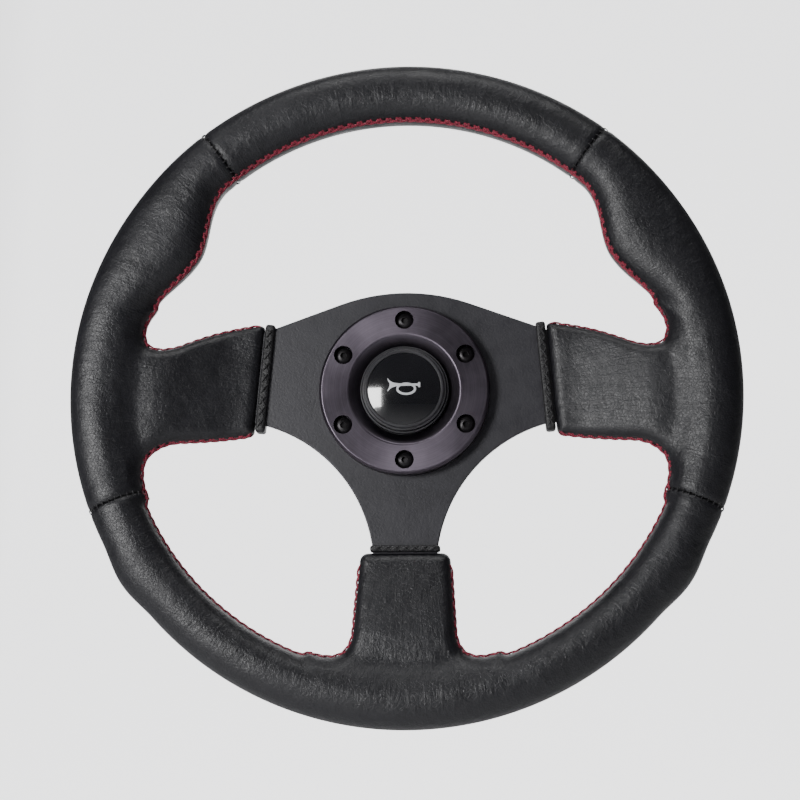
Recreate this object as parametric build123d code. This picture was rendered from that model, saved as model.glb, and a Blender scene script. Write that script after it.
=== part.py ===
from build123d import *
import math
import os

# Sporting steering wheel with a ball-lock quick release behind its hub. Millimetres.
# The steering axis is Y: -Y is the driver's side, +Y the column's side, +Z is 12 o'clock and
# +X is 3 o'clock as the driver sees it. The origin is the centre of the column hub's rear face.
# Angles around the wheel are in degrees, clockwise from 12 o'clock as the driver sees it.

# Rim
RIM_Y = -64.0
RIM_OUTER_R = 175.0
RIM_INNER_R = 144.0
RIM_HALF_DEPTH = 15.0
LOWER_RIM_EXTRA_R = 3.0
LOWER_RIM_FROM = 75.0
LOWER_RIM_TO = 111.0
GRIP_ANGLE = 57.5
GRIP_HEIGHT = 15.0
GRIP_SPAN_ABOVE = 17.0
GRIP_SPAN_BELOW = 21.0
HEEL_ANGLE = 125.0
HEEL_HEIGHT = 2.2
HEEL_SPAN = 8.0
HEEL_END = HEEL_ANGLE + HEEL_SPAN
LEATHER = 1.3
HOOP_R = 160.5
HOOP_TUBE_R = 6.5
HOOP_WALL = 1.6
TOP_SEAM_ANGLE = 38.0
LOWER_SEAM_ANGLE = 111.7
SECTION_STEP = 3.7

# Spoke plate
PLATE_THICKNESS = 4.0
PLATE_REAR_Y = -50.0
PLATE_FRONT_Y = PLATE_REAR_Y - PLATE_THICKNESS
PLATE_TOP_Z = 53.6
PLATE_TOP_R = 100.0
PLATE_SHOULDER_ANGLE = 20.0
WINDOW_X = 95.2
WINDOW_Z = -93.2
WINDOW_R = 79.0
TAB_TOP_Z = 14.0
TAB_LOW_Z = -16.5
LOWER_TAB_BEND_Z = -92.0
PLATE_EDGE_R = 0.6
PLATE_HOLE_R = 24.0
BEND_START = 84.0
BEND_END = 124.0
TAB_END = 157.0

# Leather sleeves on the spokes
SLEEVE_HUB_TOP = (74.4, 37.0)
SLEEVE_TOP_MIDDLE = (98.0, 32.1)
SLEEVE_HUB_BOTTOM = (79.6, -22.6)
SLEEVE_TOP_BEND = (119.0, 23.8)
SLEEVE_LOW_BEND = (113.0, -26.6)
SLEEVE_TOP_ANGLE = 77.5
SLEEVE_LOW_ANGLE = 107.5
LOWER_SLEEVE_Z = -84.9
LOWER_SLEEVE_BEND_Z = -122.0
LOWER_SLEEVE_HALF_WIDTH = 26.0
LOWER_SLEEVE_NOSE = 23.9
LOWER_SLEEVE_NOSE_R = 4.5
LOWER_SLEEVE_ANGLE = 162.6
SLEEVE_BURIED_R = 156.0
# Distance from the hub and y, on the driver's face and on the rear face.
SLEEVE_FRONT = [(60.0, -56.8), (90.0, -59.0), (128.0, -71.0), (165.0, -73.5)]
SLEEVE_REAR = [(165.0, -54.5), (128.0, -53.5), (90.0, -45.3), (60.0, -47.2)]
BAND_WIDTH = 5.6
BAND_HALF_DEPTH = 4.6
LOWER_BAND_HALF_WIDTH = 18.2
LOWER_BAND_WIDTH = 4.0
SIDE_BAND_SHARE = 0.972

# Hub fastening
SCREW_PCD = 74.0
SCREW_COUNT = 6
SCREW_R = 2.45
SCREW_CLEARANCE_R = 2.75
SCREW_TAP_R = 2.5
SCREW_HEAD_R = 4.75
SCREW_HEAD_HEIGHT = 2.75
SCREW_HEAD_BRIM = 0.6
SCREW_CROWN_R = 1.65
SCREW_SHOULDER_R = 2.95
SCREW_SHOULDER_DROP = 0.35
SCREW_SEAT_Y = -57.5
SCREW_END_Y = -44.5
HEX_ACROSS_FLATS = 3.0
HEX_DEPTH = 1.6

# Trim ring around the horn button
TRIM_R = 44.8
TRIM_FRONT_Y = -62.0
TRIM_CHAMFER = 1.4
TRIM_EDGE_ROUND = 0.8
FUNNEL_MOUTH_ROUND = 1.6
FUNNEL_THROAT_ROUND = 0.6
FUNNEL_MOUTH_R = 29.2
FUNNEL_THROAT_R = 23.4
FUNNEL_THROAT_Y = -57.0
TRIM_SEAT_R = 27.2
TRIM_SEAT_Y = -56.0
COUNTERBORE_R = 4.9

# Horn button
HOUSING_R = 23.1
HOUSING_BORE_R = 22.1
HOUSING_REAR_Y = -52.0
HOUSING_FLOOR_Y = -53.6
HOUSING_FRONT_Y = -60.5
HOUSING_FLANGE_R = 26.8
HORN_TRAVEL = 2.5
CAP_R = 21.9
CAP_SKIRT_Y = -57.5
CAP_STEP_Y = -62.0
CAP_FRONT_Y = -63.4
CAP_INSIDE_Y = -60.6
CAP_INSIDE_R = 20.2
CAP_RIM_R = 21.0
CAP_FRONT_R = 20.4
CAP_BOSS_HALF_WIDTH = 1.2
LIP_ROUND = 0.3
EMBLEM_R = 18.9
EMBLEM_PLAY = 0.2
EMBLEM_SEAT_Y = -62.2
EMBLEM_EDGE_Y = -63.2
EMBLEM_TOP_Y = -66.0
LEG_COUNT = 3
LEG_R = 17.5
LEG_WIDTH = 5.0
LEG_THICKNESS = 1.4
BARB_REACH = 1.4
BARB_LENGTH = 1.5
LEG_SLOT_PLAY = 0.6
CONTACT_R = 13.0
CONTACT_HALF_WIDTH = 2.0
CONTACT_THICKNESS = 0.8
HORN_SPRING_R = 7.0
HORN_SPRING_WIRE_R = 0.45
HORN_SPRING_TURNS = 3.5
TERMINALS_X = (CONTACT_R, -HORN_SPRING_R)
TERMINAL_END_Y = -47.5
TERMINAL_HALF_THICKNESS = 0.4
TERMINAL_HALF_WIDTH = 1.4

# Quick release
COLUMN_FLANGE_R = 43.0
COLUMN_FLANGE_FRONT_Y = -8.0
COLUMN_PCD = 70.0
COLUMN_HOLE_R = 2.65
COUNTERSINK_R = 5.2
HUB_CHAMFER = 1.0
SPIGOT_CHAMFER = 0.5
SPIGOT_R = 22.0
SPIGOT_END_Y = -36.0
SPIGOT_BORE_R = 11.0
BALL_R = 4.0
BALL_Y = -24.0
BALL_OUT_R = 26.05
BALL_TRAVEL = 2.0
COLLAR_TRAVEL = 6.0
BALL_COUNT = 6
SOCKET_BORE_R = 22.04
SOCKET_R = 28.0
SOCKET_END_Y = -9.5
ADAPTER_FLANGE_R = 44.0
ADAPTER_REAR_Y = -43.0
ADAPTER_RECESS_Y = -46.0
ADAPTER_RECESS_R = 24.0
ADAPTER_CENTRE_R = 10.0
SPLINE_POSITIONS = 12
SPLINE_WIDTH = 4.0
SPLINE_ROOT_R = 20.5
SPLINE_START_Y = -29.0
COLLAR_R = 35.0
COLLAR_LIP_R = 37.5
COLLAR_BORE_R = 28.1
COLLAR_REAR_Y = -18.4
COLLAR_FRONT_Y = -42.5
COLLAR_MOUTH = 2.0
COLLAR_LIP_CHAMFER = 0.8
COLLAR_LIP_LENGTH = 3.0
COLLAR_LIP_END = 5.0
COLLAR_END_CHAMFER = 1.0
COLLAR_POCKET_R = 31.2
COLLAR_POCKET_Y = -36.0
COLLAR_FLUTES = 24
FLUTE_R = 1.6
FLUTE_START = 6.5
COLLAR_SPRING_R = 29.7
COLLAR_SPRING_WIRE_R = 0.75
COLLAR_SPRING_TURNS = 3.0
SNAP_RING_SPAN = (-12.3, -10.8)
SNAP_RING_R = 30.2
SNAP_GROOVE_R = 26.6
SNAP_RING_PLAY = 0.05
SNAP_RING_HALF_GAP = 3.0

# Horn current across the quick release
PIN_CIRCLE_R = 15.5
PIN_ANGLE = 180.0
PIN_R = 1.5
PIN_TIP_Y = -36.1
PIN_HEAD_R = 2.5
PIN_HEAD_Y = (-43.8, -45.0)
BUSH_R = 4.0
BUSH_BORE_R = 2.7
BUSH_REAR_Y = -42.5
BUSH_SHOULDER_Y = -43.7
BUSH_CAVITY_Y = -48.4
BUSH_FRONT_Y = -49.6
PIN_SPRING_R = 2.0
PIN_SPRING_WIRE_R = 0.25
PIN_SPRING_TURNS = 3.5
INSULATOR_HALF_WIDTH = 3.0
INSULATOR_DEPTH = 3.5
RING_HALF_WIDTH = 1.5
RING_DEPTH = 1.5

CLEARANCE = 0.1
OVERCUT = 1.0
BIG = 400.0


def save(node, shape):
    """Write one named piece."""
    export_step(shape, f"parts/{node}.step")


def at_angle(radius, angle):
    """The (x, z) point at a radius and a clockwise angle from 12 o'clock."""
    return (radius * math.sin(math.radians(angle)), radius * math.cos(math.radians(angle)))


def spaced(count, first=0.0):
    """Equally spaced angles around the wheel."""
    return [first + 360.0 * k / count for k in range(count)]


def turned(*points):
    """A solid turned about the steering axis from (radius, y) corners."""
    return revolve(make_face(Polyline(*points, close=True)), Axis.Y)


def turned_soft(points, soft_corners):
    """A turned solid with some corners rounded: soft_corners maps a corner to its radius."""
    outline = make_face(Polyline(*points, close=True))
    for corner, radius in soft_corners.items():
        nearest = outline.vertices().sort_by_distance(Vertex(*corner, 0))[0]
        outline = fillet(nearest, radius)
    return revolve(outline, Axis.Y)


def ring(y_start, y_end, outer_r, inner_r=0.0):
    """A plain disc or ring about the steering axis."""
    return turned((inner_r, y_start), (outer_r, y_start), (outer_r, y_end), (inner_r, y_end))


def rod(y_start, y_end, radius, at=(0.0, 0.0)):
    """A cylinder parallel to the steering axis, centred on an (x, z) point."""
    middle = (y_start + y_end) / 2
    return Pos(at[0], middle, at[1]) * Rot(90, 0, 0) * Cylinder(radius, abs(y_end - y_start))


def turn_to(angle):
    """Turns a piece made at 12 o'clock to another angle."""
    return Rot(0, angle, 0)


def block(x_range, y_range, z_range):
    """A box between two corners."""
    spans = [sorted(pair) for pair in (x_range, y_range, z_range)]
    size = [high - low for low, high in spans]
    middle = [(high + low) / 2 for low, high in spans]
    return Pos(*middle) * Box(*size)


def plan_prism(edges):
    """A closed outline drawn in (x, z), pushed through the whole depth."""
    return extrude(Plane.XZ * make_face(edges), amount=BIG / 2, both=True)


def mirrored(shape):
    """The left-hand twin of a right-hand piece."""
    return mirror(shape, about=Plane.YZ)


def coil(radius, wire_r, turns, y_start, y_end, at=(0.0, 0.0)):
    """A coil spring between two seats, standing clear of both by the working clearance."""
    low, high = sorted((y_start, y_end))
    height = high - low - 2 * wire_r - 2 * CLEARANCE
    path = Helix(pitch=height / turns, height=height, radius=radius)
    wire = sweep(Plane(path @ 0, z_dir=path % 0) * Circle(wire_r), path, is_frenet=True)
    return Pos(at[0], high - wire_r - CLEARANCE, at[1]) * Rot(90, 0, 0) * wire


def ease(share):
    """Rises smoothly from 0 to 1 as share goes from 0 to 1."""
    return 0.5 - 0.5 * math.cos(math.pi * min(max(share, 0.0), 1.0))


def swell(distance, span):
    """A smooth bump: 1 at distance 0, and 0 from span outwards."""
    return 1.0 - ease(abs(distance) / span)


# ---------------------------------------------------------------- rim and leather


def from_top(angle):
    """How far round from 12 o'clock an angle lies, on either side."""
    side = abs(angle)
    return 360.0 - side if side > 180.0 else side


def rim_inner_r(angle):
    """Inner radius of the leather: thumb grips near 10 and 2 o'clock, a slimmer lower rim."""
    side = from_top(angle)
    span = GRIP_SPAN_ABOVE if side < GRIP_ANGLE else GRIP_SPAN_BELOW
    lower = LOWER_RIM_EXTRA_R * ease((side - LOWER_RIM_FROM) / (LOWER_RIM_TO - LOWER_RIM_FROM))
    return RIM_INNER_R + lower - GRIP_HEIGHT * swell(side - GRIP_ANGLE, span)


def rim_outer_r(angle):
    """Outer radius of the leather, with the two low swellings beside the lower spoke."""
    return RIM_OUTER_R + HEEL_HEIGHT * swell(from_top(angle) - HEEL_ANGLE, HEEL_SPAN)


def rim_section(angle, inset):
    """The oval section across the rim at an angle, drawn in by inset."""
    inner = rim_inner_r(angle) + inset
    outer = rim_outer_r(angle) - inset
    x, z = at_angle((inner + outer) / 2, angle)
    out_x, out_z = at_angle(1.0, angle)
    plane = Plane(origin=(x, RIM_Y, z), x_dir=(out_x, 0, out_z), z_dir=(out_z, 0, -out_x))
    return plane * Ellipse((outer - inner) / 2, RIM_HALF_DEPTH - inset)


def rim_length(start, end, inset):
    """A length of rim between two angles."""
    steps = math.ceil((end - start) / SECTION_STEP)
    angles = [start + (end - start) * k / steps for k in range(steps + 1)]
    return loft([rim_section(angle, inset) for angle in angles])


def spoke_side(inset):
    """A sleeve seen from the side, as (distance from the hub, y) corners."""
    front = [(s, y + inset) for s, y in SLEEVE_FRONT]
    rear = [(s, y - inset) for s, y in SLEEVE_REAR]
    return front + rear


def plate_side():
    """The spoke plate seen from the side: flat at the hub, then bent forward to the rim."""
    rear = [(0.0, PLATE_REAR_Y), (BEND_START, PLATE_REAR_Y)]
    rear += [(BEND_END, RIM_Y + PLATE_THICKNESS / 2), (TAB_END, RIM_Y + PLATE_THICKNESS / 2)]
    front = [(s, y - PLATE_THICKNESS) for s, y in reversed(rear)]
    return rear + front


def along_x(corners):
    """A side outline for the right spoke, as wide as the wheel."""
    return extrude(make_face(Polyline(*corners, close=True)), amount=BIG / 2, both=True)


def along_z(corners):
    """A side outline for the lower spoke, as wide as the wheel."""
    face = make_face(Polyline(*[(y, -s) for s, y in corners], close=True))
    return extrude(Plane.YZ * face, amount=BIG / 2, both=True)


def side_sleeve(inset):
    """The right spoke's sleeve, from its end band to inside the rim."""
    hub_end = Line(SLEEVE_HUB_TOP, SLEEVE_HUB_BOTTOM)
    top = hub_end.position_at(inset, position_mode=PositionMode.LENGTH)
    bottom = hub_end.position_at(hub_end.length - inset, position_mode=PositionMode.LENGTH)
    top_middle = (SLEEVE_TOP_MIDDLE[0], SLEEVE_TOP_MIDDLE[1] - inset)
    top_bend = (SLEEVE_TOP_BEND[0], SLEEVE_TOP_BEND[1] - inset)
    low_bend = (SLEEVE_LOW_BEND[0], SLEEVE_LOW_BEND[1] + inset)
    top_rim = at_angle(rim_inner_r(SLEEVE_TOP_ANGLE) + inset, SLEEVE_TOP_ANGLE)
    low_rim = at_angle(rim_inner_r(SLEEVE_LOW_ANGLE) + inset, SLEEVE_LOW_ANGLE)
    top_buried = at_angle(SLEEVE_BURIED_R, SLEEVE_TOP_ANGLE)
    middle = at_angle(SLEEVE_BURIED_R, (SLEEVE_TOP_ANGLE + SLEEVE_LOW_ANGLE) / 2)
    low_buried = at_angle(SLEEVE_BURIED_R, SLEEVE_LOW_ANGLE)
    top_edge = ThreePointArc(top, top_middle, top_bend)
    low_edge = Line(bottom, low_bend)
    edges = [
        top_edge,
        TangentArc(top_bend, top_rim, tangent=top_edge % 1),
        Line(top_rim, top_buried),
        ThreePointArc(top_buried, middle, low_buried),
        Line(low_buried, low_rim),
        TangentArc(low_bend, low_rim, tangent=low_edge % 1),
        low_edge,
        Line(bottom, top),
    ]
    return plan_prism(edges) & along_x(spoke_side(inset))


def lower_sleeve(inset):
    """The lower spoke's sleeve, from its end band to inside the rim."""
    nose = LOWER_SLEEVE_NOSE - inset
    wide = LOWER_SLEEVE_HALF_WIDTH - inset
    hub_corner = (nose - LOWER_SLEEVE_NOSE_R, LOWER_SLEEVE_Z)
    shoulder = (nose, LOWER_SLEEVE_Z - LOWER_SLEEVE_NOSE_R)
    bend = (wide, LOWER_SLEEVE_BEND_Z)
    rim_point = at_angle(rim_inner_r(LOWER_SLEEVE_ANGLE) + inset, LOWER_SLEEVE_ANGLE)
    buried = at_angle(SLEEVE_BURIED_R, LOWER_SLEEVE_ANGLE)
    side = Line(shoulder, bend)
    right = [
        TangentArc(hub_corner, shoulder, tangent=(1, 0)),
        side,
        TangentArc(bend, rim_point, tangent=side % 1),
        Line(rim_point, buried),
    ]
    left = [mirrored(edge) for edge in right]
    ends = [
        Line((-hub_corner[0], hub_corner[1]), hub_corner),
        ThreePointArc(buried, (0, -SLEEVE_BURIED_R), (-buried[0], buried[1])),
    ]
    return plan_prism(right + left + ends) & along_z(spoke_side(inset))


def plain_rim(start, end, inset):
    """A length of rim whose section stays the same."""
    return revolve(rim_section(start, inset), Axis.Y, end - start)


def top_rim(inset):
    """The plain top of the rim, between the two upper seams."""
    return plain_rim(-TOP_SEAM_ANGLE, TOP_SEAM_ANGLE, inset)


def right_rim(inset):
    """The right-hand rim with its thumb grip and the right spoke's sleeve."""
    return rim_length(TOP_SEAM_ANGLE, LOWER_SEAM_ANGLE, inset) + side_sleeve(inset)


def lower_rim(inset):
    """The bottom of the rim with the lower spoke's sleeve."""
    heel = rim_length(LOWER_SEAM_ANGLE, HEEL_END, inset)
    plain = plain_rim(HEEL_END, 360.0 - HEEL_END, inset)
    return plain + lower_sleeve(inset) + heel + mirrored(heel)


def hoop_bar(radius):
    """A bar bent into the hoop's circle."""
    return Pos(0, RIM_Y, 0) * Rot(90, 0, 0) * Torus(HOOP_R, radius)


def plate_outline():
    """Edges of the three-spoke plate, in (x, z)."""
    centre_z = PLATE_TOP_Z - PLATE_TOP_R
    shoulder_x, shoulder_z = at_angle(PLATE_TOP_R, PLATE_SHOULDER_ANGLE)
    shoulder_z += centre_z
    fall = math.tan(math.radians(PLATE_SHOULDER_ANGLE))
    tab_corner_x = shoulder_x + (shoulder_z - TAB_TOP_Z) / fall
    top_reach = math.sqrt(WINDOW_R**2 - (TAB_LOW_Z - WINDOW_Z)**2)
    side_reach = math.sqrt(WINDOW_R**2 - (LOWER_TAB_BEND_Z - WINDOW_Z)**2)
    diagonal = WINDOW_R * math.sqrt(0.5)
    window_top = (WINDOW_X - top_reach, TAB_LOW_Z)
    window_middle = (WINDOW_X - diagonal, WINDOW_Z + diagonal)
    window_side = (WINDOW_X - side_reach, LOWER_TAB_BEND_Z)
    tab_side = (window_side[0], -TAB_END)
    right = [
        Line((shoulder_x, shoulder_z), (tab_corner_x, TAB_TOP_Z)),
        Line((tab_corner_x, TAB_TOP_Z), (TAB_END, TAB_TOP_Z)),
        Line((TAB_END, TAB_TOP_Z), (TAB_END, TAB_LOW_Z)),
        Line((TAB_END, TAB_LOW_Z), window_top),
        ThreePointArc(window_top, window_middle, window_side),
        Line(window_side, tab_side),
    ]
    left = [mirrored(edge) for edge in right]
    ends = [
        ThreePointArc((-shoulder_x, shoulder_z), (0, PLATE_TOP_Z), (shoulder_x, shoulder_z)),
        Line(tab_side, (-tab_side[0], tab_side[1])),
    ]
    return right + left + ends


def flat_plate(blank):
    """The flat middle of the plate, with its visible edges rounded over."""
    reach = (-BEND_START, BEND_START)
    flat = blank & block(reach, (PLATE_FRONT_Y, PLATE_REAR_Y), (-BEND_START, BIG))
    inside = BEND_START - PLATE_EDGE_R
    middle_y = (PLATE_FRONT_Y + PLATE_REAR_Y) / 2
    soft = [
        edge for edge in flat.edges()
        if abs(edge.center().X) < inside
        and edge.center().Z > -inside
        and abs(edge.center().Y - middle_y) > PLATE_THICKNESS / 4
    ]
    return fillet(soft, PLATE_EDGE_R)


def spoke_plate():
    """One pressed plate: three spokes, six screw holes and the horn's clearance hole."""
    blank = plan_prism(plate_outline())
    edge = BEND_START
    right = blank & along_x(plate_side()) & block((edge, BIG), (-BIG, BIG), (-edge, BIG))
    lower = blank & along_z(plate_side()) & block((-edge, edge), (-BIG, BIG), (-BIG, -edge))
    plate = flat_plate(blank) + right + mirrored(right) + lower - hoop_bar(HOOP_TUBE_R)
    plate -= ring(PLATE_REAR_Y + OVERCUT, PLATE_FRONT_Y - OVERCUT, PLATE_HOLE_R)
    for angle in spaced(SCREW_COUNT):
        spot = at_angle(SCREW_PCD / 2, angle)
        plate -= rod(PLATE_REAR_Y + OVERCUT, PLATE_FRONT_Y - OVERCUT, SCREW_CLEARANCE_R, spot)
    return plate


def side_band():
    """The laced strip that closes the right sleeve round the plate."""
    line = Line(SLEEVE_HUB_TOP, SLEEVE_HUB_BOTTOM)
    top = Vector(*SLEEVE_HUB_TOP)
    bottom = line @ SIDE_BAND_SHARE
    across = (line % 0).rotate(Axis.Z, -90) * BAND_WIDTH
    corners = [top, bottom, bottom + across, top + across]
    half = BAND_HALF_DEPTH
    middle = (PLATE_REAR_Y + PLATE_FRONT_Y) / 2
    strip = extrude(Plane.XZ * make_face(Polyline(*corners, close=True)), amount=half, both=True)
    return Pos(0, middle, 0) * strip


def lower_band():
    """The laced strip that closes the lower sleeve round the plate."""
    middle = (PLATE_REAR_Y + PLATE_FRONT_Y) / 2
    depth = (middle - BAND_HALF_DEPTH, middle + BAND_HALF_DEPTH)
    wide = LOWER_BAND_HALF_WIDTH
    return block((-wide, wide), depth, (LOWER_SLEEVE_Z, LOWER_SLEEVE_Z + LOWER_BAND_WIDTH))


hoop = hoop_bar(HOOP_TUBE_R)
plate = spoke_plate()
top_core = top_rim(LEATHER)
right_core = right_rim(LEATHER)
lower_core = lower_rim(LEATHER)
right_leather = right_rim(0.0) - right_core - plate
foam_lengths = [core - hoop - plate for core in (top_core, right_core, lower_core)]
foam = foam_lengths[0] + foam_lengths[1] + mirrored(foam_lengths[1]) + foam_lengths[2]

save("rim_hoop", hoop - hoop_bar(HOOP_TUBE_R - HOOP_WALL))
save("spoke_plate", plate)
save("rim_foam", foam)
save("leather_top", top_rim(0.0) - top_core)
save("leather_right", right_leather)
save("leather_left", mirrored(right_leather))
save("leather_lower", lower_rim(0.0) - lower_core - plate)
save("end_band_right", side_band() - plate)
save("end_band_left", mirrored(side_band() - plate))
save("end_band_lower", lower_band() - plate)


# ---------------------------------------------------------------- hub screws and trim ring


def wheel_screw():
    """A button-head socket screw at 12 o'clock."""
    dome_y = SCREW_SEAT_Y - SCREW_HEAD_HEIGHT
    brim_y = SCREW_SEAT_Y - SCREW_HEAD_BRIM
    shoulder = (SCREW_HEAD_R, brim_y)
    middle = (SCREW_SHOULDER_R, dome_y + SCREW_SHOULDER_DROP)
    crown = (SCREW_CROWN_R, dome_y)
    edges = [
        Line((0, SCREW_END_Y), (SCREW_R, SCREW_END_Y)),
        Line((SCREW_R, SCREW_END_Y), (SCREW_R, SCREW_SEAT_Y)),
        Line((SCREW_R, SCREW_SEAT_Y), (SCREW_HEAD_R, SCREW_SEAT_Y)),
        Line((SCREW_HEAD_R, SCREW_SEAT_Y), shoulder),
        ThreePointArc(shoulder, middle, crown),
        Line(crown, (0, dome_y)),
        Line((0, dome_y), (0, SCREW_END_Y)),
    ]
    body = revolve(make_face(edges), Axis.Y)
    socket = RegularPolygon(HEX_ACROSS_FLATS / 2, 6, major_radius=False)
    mouth = Pos(0, dome_y - OVERCUT, 0)
    body -= mouth * extrude(Plane.XZ * socket, amount=-(HEX_DEPTH + OVERCUT))
    return Pos(0, 0, SCREW_PCD / 2) * body


screw = wheel_screw()
save("wheel_screws", Compound([turn_to(angle) * screw for angle in spaced(SCREW_COUNT)]))

trim_face_corner = (TRIM_R - TRIM_CHAMFER, TRIM_FRONT_Y)
trim_edge_corner = (TRIM_R, TRIM_FRONT_Y + TRIM_CHAMFER)
funnel_mouth = (FUNNEL_MOUTH_R, TRIM_FRONT_Y)
funnel_throat = (FUNNEL_THROAT_R, FUNNEL_THROAT_Y)
trim_profile = [
    (TRIM_SEAT_R, PLATE_FRONT_Y),
    (TRIM_R, PLATE_FRONT_Y),
    trim_edge_corner,
    trim_face_corner,
    funnel_mouth,
    funnel_throat,
    (FUNNEL_THROAT_R, TRIM_SEAT_Y),
    (TRIM_SEAT_R, TRIM_SEAT_Y),
]
trim = turned_soft(trim_profile, {
    trim_edge_corner: TRIM_EDGE_ROUND,
    trim_face_corner: TRIM_EDGE_ROUND,
    funnel_mouth: FUNNEL_MOUTH_ROUND,
    funnel_throat: FUNNEL_THROAT_ROUND,
})
for angle in spaced(SCREW_COUNT):
    spot = at_angle(SCREW_PCD / 2, angle)
    trim -= rod(PLATE_FRONT_Y + OVERCUT, TRIM_FRONT_Y - OVERCUT, SCREW_CLEARANCE_R, spot)
    trim -= rod(SCREW_SEAT_Y, TRIM_FRONT_Y - OVERCUT, COUNTERBORE_R, spot)
save("trim_ring", trim)


# ---------------------------------------------------------------- horn button


def ring_slot(radius, thickness, width, y_start, y_end, angle):
    """A short block across the radius at an angle, for legs and the slots they pass."""
    half = width / 2
    reach = (radius - thickness / 2, radius + thickness / 2)
    return turn_to(angle) * block((-half, half), (y_start, y_end), reach)


housing_lips = [(HOUSING_R, HOUSING_FRONT_Y), (HOUSING_BORE_R, HOUSING_FRONT_Y)]
housing_profile = [
    (0, HOUSING_REAR_Y),
    (HOUSING_R, HOUSING_REAR_Y),
    (HOUSING_R, PLATE_FRONT_Y - CLEARANCE),
    (HOUSING_FLANGE_R, PLATE_FRONT_Y - CLEARANCE),
    (HOUSING_FLANGE_R, TRIM_SEAT_Y + CLEARANCE),
    (HOUSING_R, TRIM_SEAT_Y + CLEARANCE),
    *housing_lips,
    (HOUSING_BORE_R, HOUSING_FLOOR_Y),
    (0, HOUSING_FLOOR_Y),
]
housing = turned_soft(housing_profile, {corner: LIP_ROUND for corner in housing_lips})
for angle in spaced(LEG_COUNT):
    slot_y = (HOUSING_REAR_Y + OVERCUT, HOUSING_FLOOR_Y - OVERCUT)
    slot_size = (LEG_THICKNESS + LEG_SLOT_PLAY, LEG_WIDTH + LEG_SLOT_PLAY)
    housing -= ring_slot(LEG_R, *slot_size, *slot_y, angle)
blade = block(
    (-TERMINAL_HALF_THICKNESS, TERMINAL_HALF_THICKNESS),
    (TERMINAL_END_Y, HOUSING_FLOOR_Y),
    (-TERMINAL_HALF_WIDTH, TERMINAL_HALF_WIDTH),
)
terminals = Compound([Pos(x, 0, 0) * blade for x in TERMINALS_X])
save("horn_terminals", terminals)
save("horn_housing", housing - terminals)

contact_inner = CONTACT_R - CONTACT_HALF_WIDTH
contact_outer = CONTACT_R + CONTACT_HALF_WIDTH
fixed_top_y = HOUSING_FLOOR_Y - CONTACT_THICKNESS
moving_face_y = fixed_top_y - HORN_TRAVEL - CLEARANCE
moving_back_y = moving_face_y - CONTACT_THICKNESS
save("horn_fixed_contact", ring(HOUSING_FLOOR_Y, fixed_top_y, contact_outer, contact_inner))
save("horn_moving_contact", ring(moving_face_y, moving_back_y, contact_outer, contact_inner))
save("horn_spring", coil(
    HORN_SPRING_R, HORN_SPRING_WIRE_R, HORN_SPRING_TURNS, HOUSING_FLOOR_Y, CAP_INSIDE_Y))

cap_steps = [
    (CAP_R, CAP_STEP_Y),
    (CAP_RIM_R, CAP_STEP_Y),
    (CAP_FRONT_R, CAP_FRONT_Y),
    (EMBLEM_R + EMBLEM_PLAY, CAP_FRONT_Y),
]
cap_profile = [
    (0, CAP_INSIDE_Y),
    (CAP_INSIDE_R, CAP_INSIDE_Y),
    (CAP_INSIDE_R, CAP_SKIRT_Y),
    (CAP_R, CAP_SKIRT_Y),
    *cap_steps,
    (EMBLEM_R + EMBLEM_PLAY, EMBLEM_SEAT_Y),
    (0, EMBLEM_SEAT_Y),
]
cap = turned_soft(cap_profile, {corner: LIP_ROUND for corner in cap_steps})
boss_outer = CONTACT_R + CAP_BOSS_HALF_WIDTH
boss_inner = CONTACT_R - CAP_BOSS_HALF_WIDTH
cap += ring(CAP_INSIDE_Y, moving_back_y, boss_outer, boss_inner)
barb_y = HOUSING_REAR_Y + CLEARANCE
for angle in spaced(LEG_COUNT):
    cap += ring_slot(LEG_R, LEG_THICKNESS, LEG_WIDTH, CAP_INSIDE_Y, barb_y + BARB_LENGTH, angle)
    hook = LEG_R + LEG_THICKNESS / 2 + BARB_REACH / 2
    cap += ring_slot(hook, BARB_REACH, LEG_WIDTH, barb_y, barb_y + BARB_LENGTH, angle)
save("horn_cap", cap)

emblem = revolve(make_face([
    Line((0, EMBLEM_SEAT_Y), (EMBLEM_R, EMBLEM_SEAT_Y)),
    Line((EMBLEM_R, EMBLEM_SEAT_Y), (EMBLEM_R, EMBLEM_EDGE_Y)),
    TangentArc((0, EMBLEM_TOP_Y), (EMBLEM_R, EMBLEM_EDGE_Y), tangent=(1, 0)),
    Line((0, EMBLEM_TOP_Y), (0, EMBLEM_SEAT_Y)),
]), Axis.Y)
save("horn_emblem", emblem)


# ---------------------------------------------------------------- quick release

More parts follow.
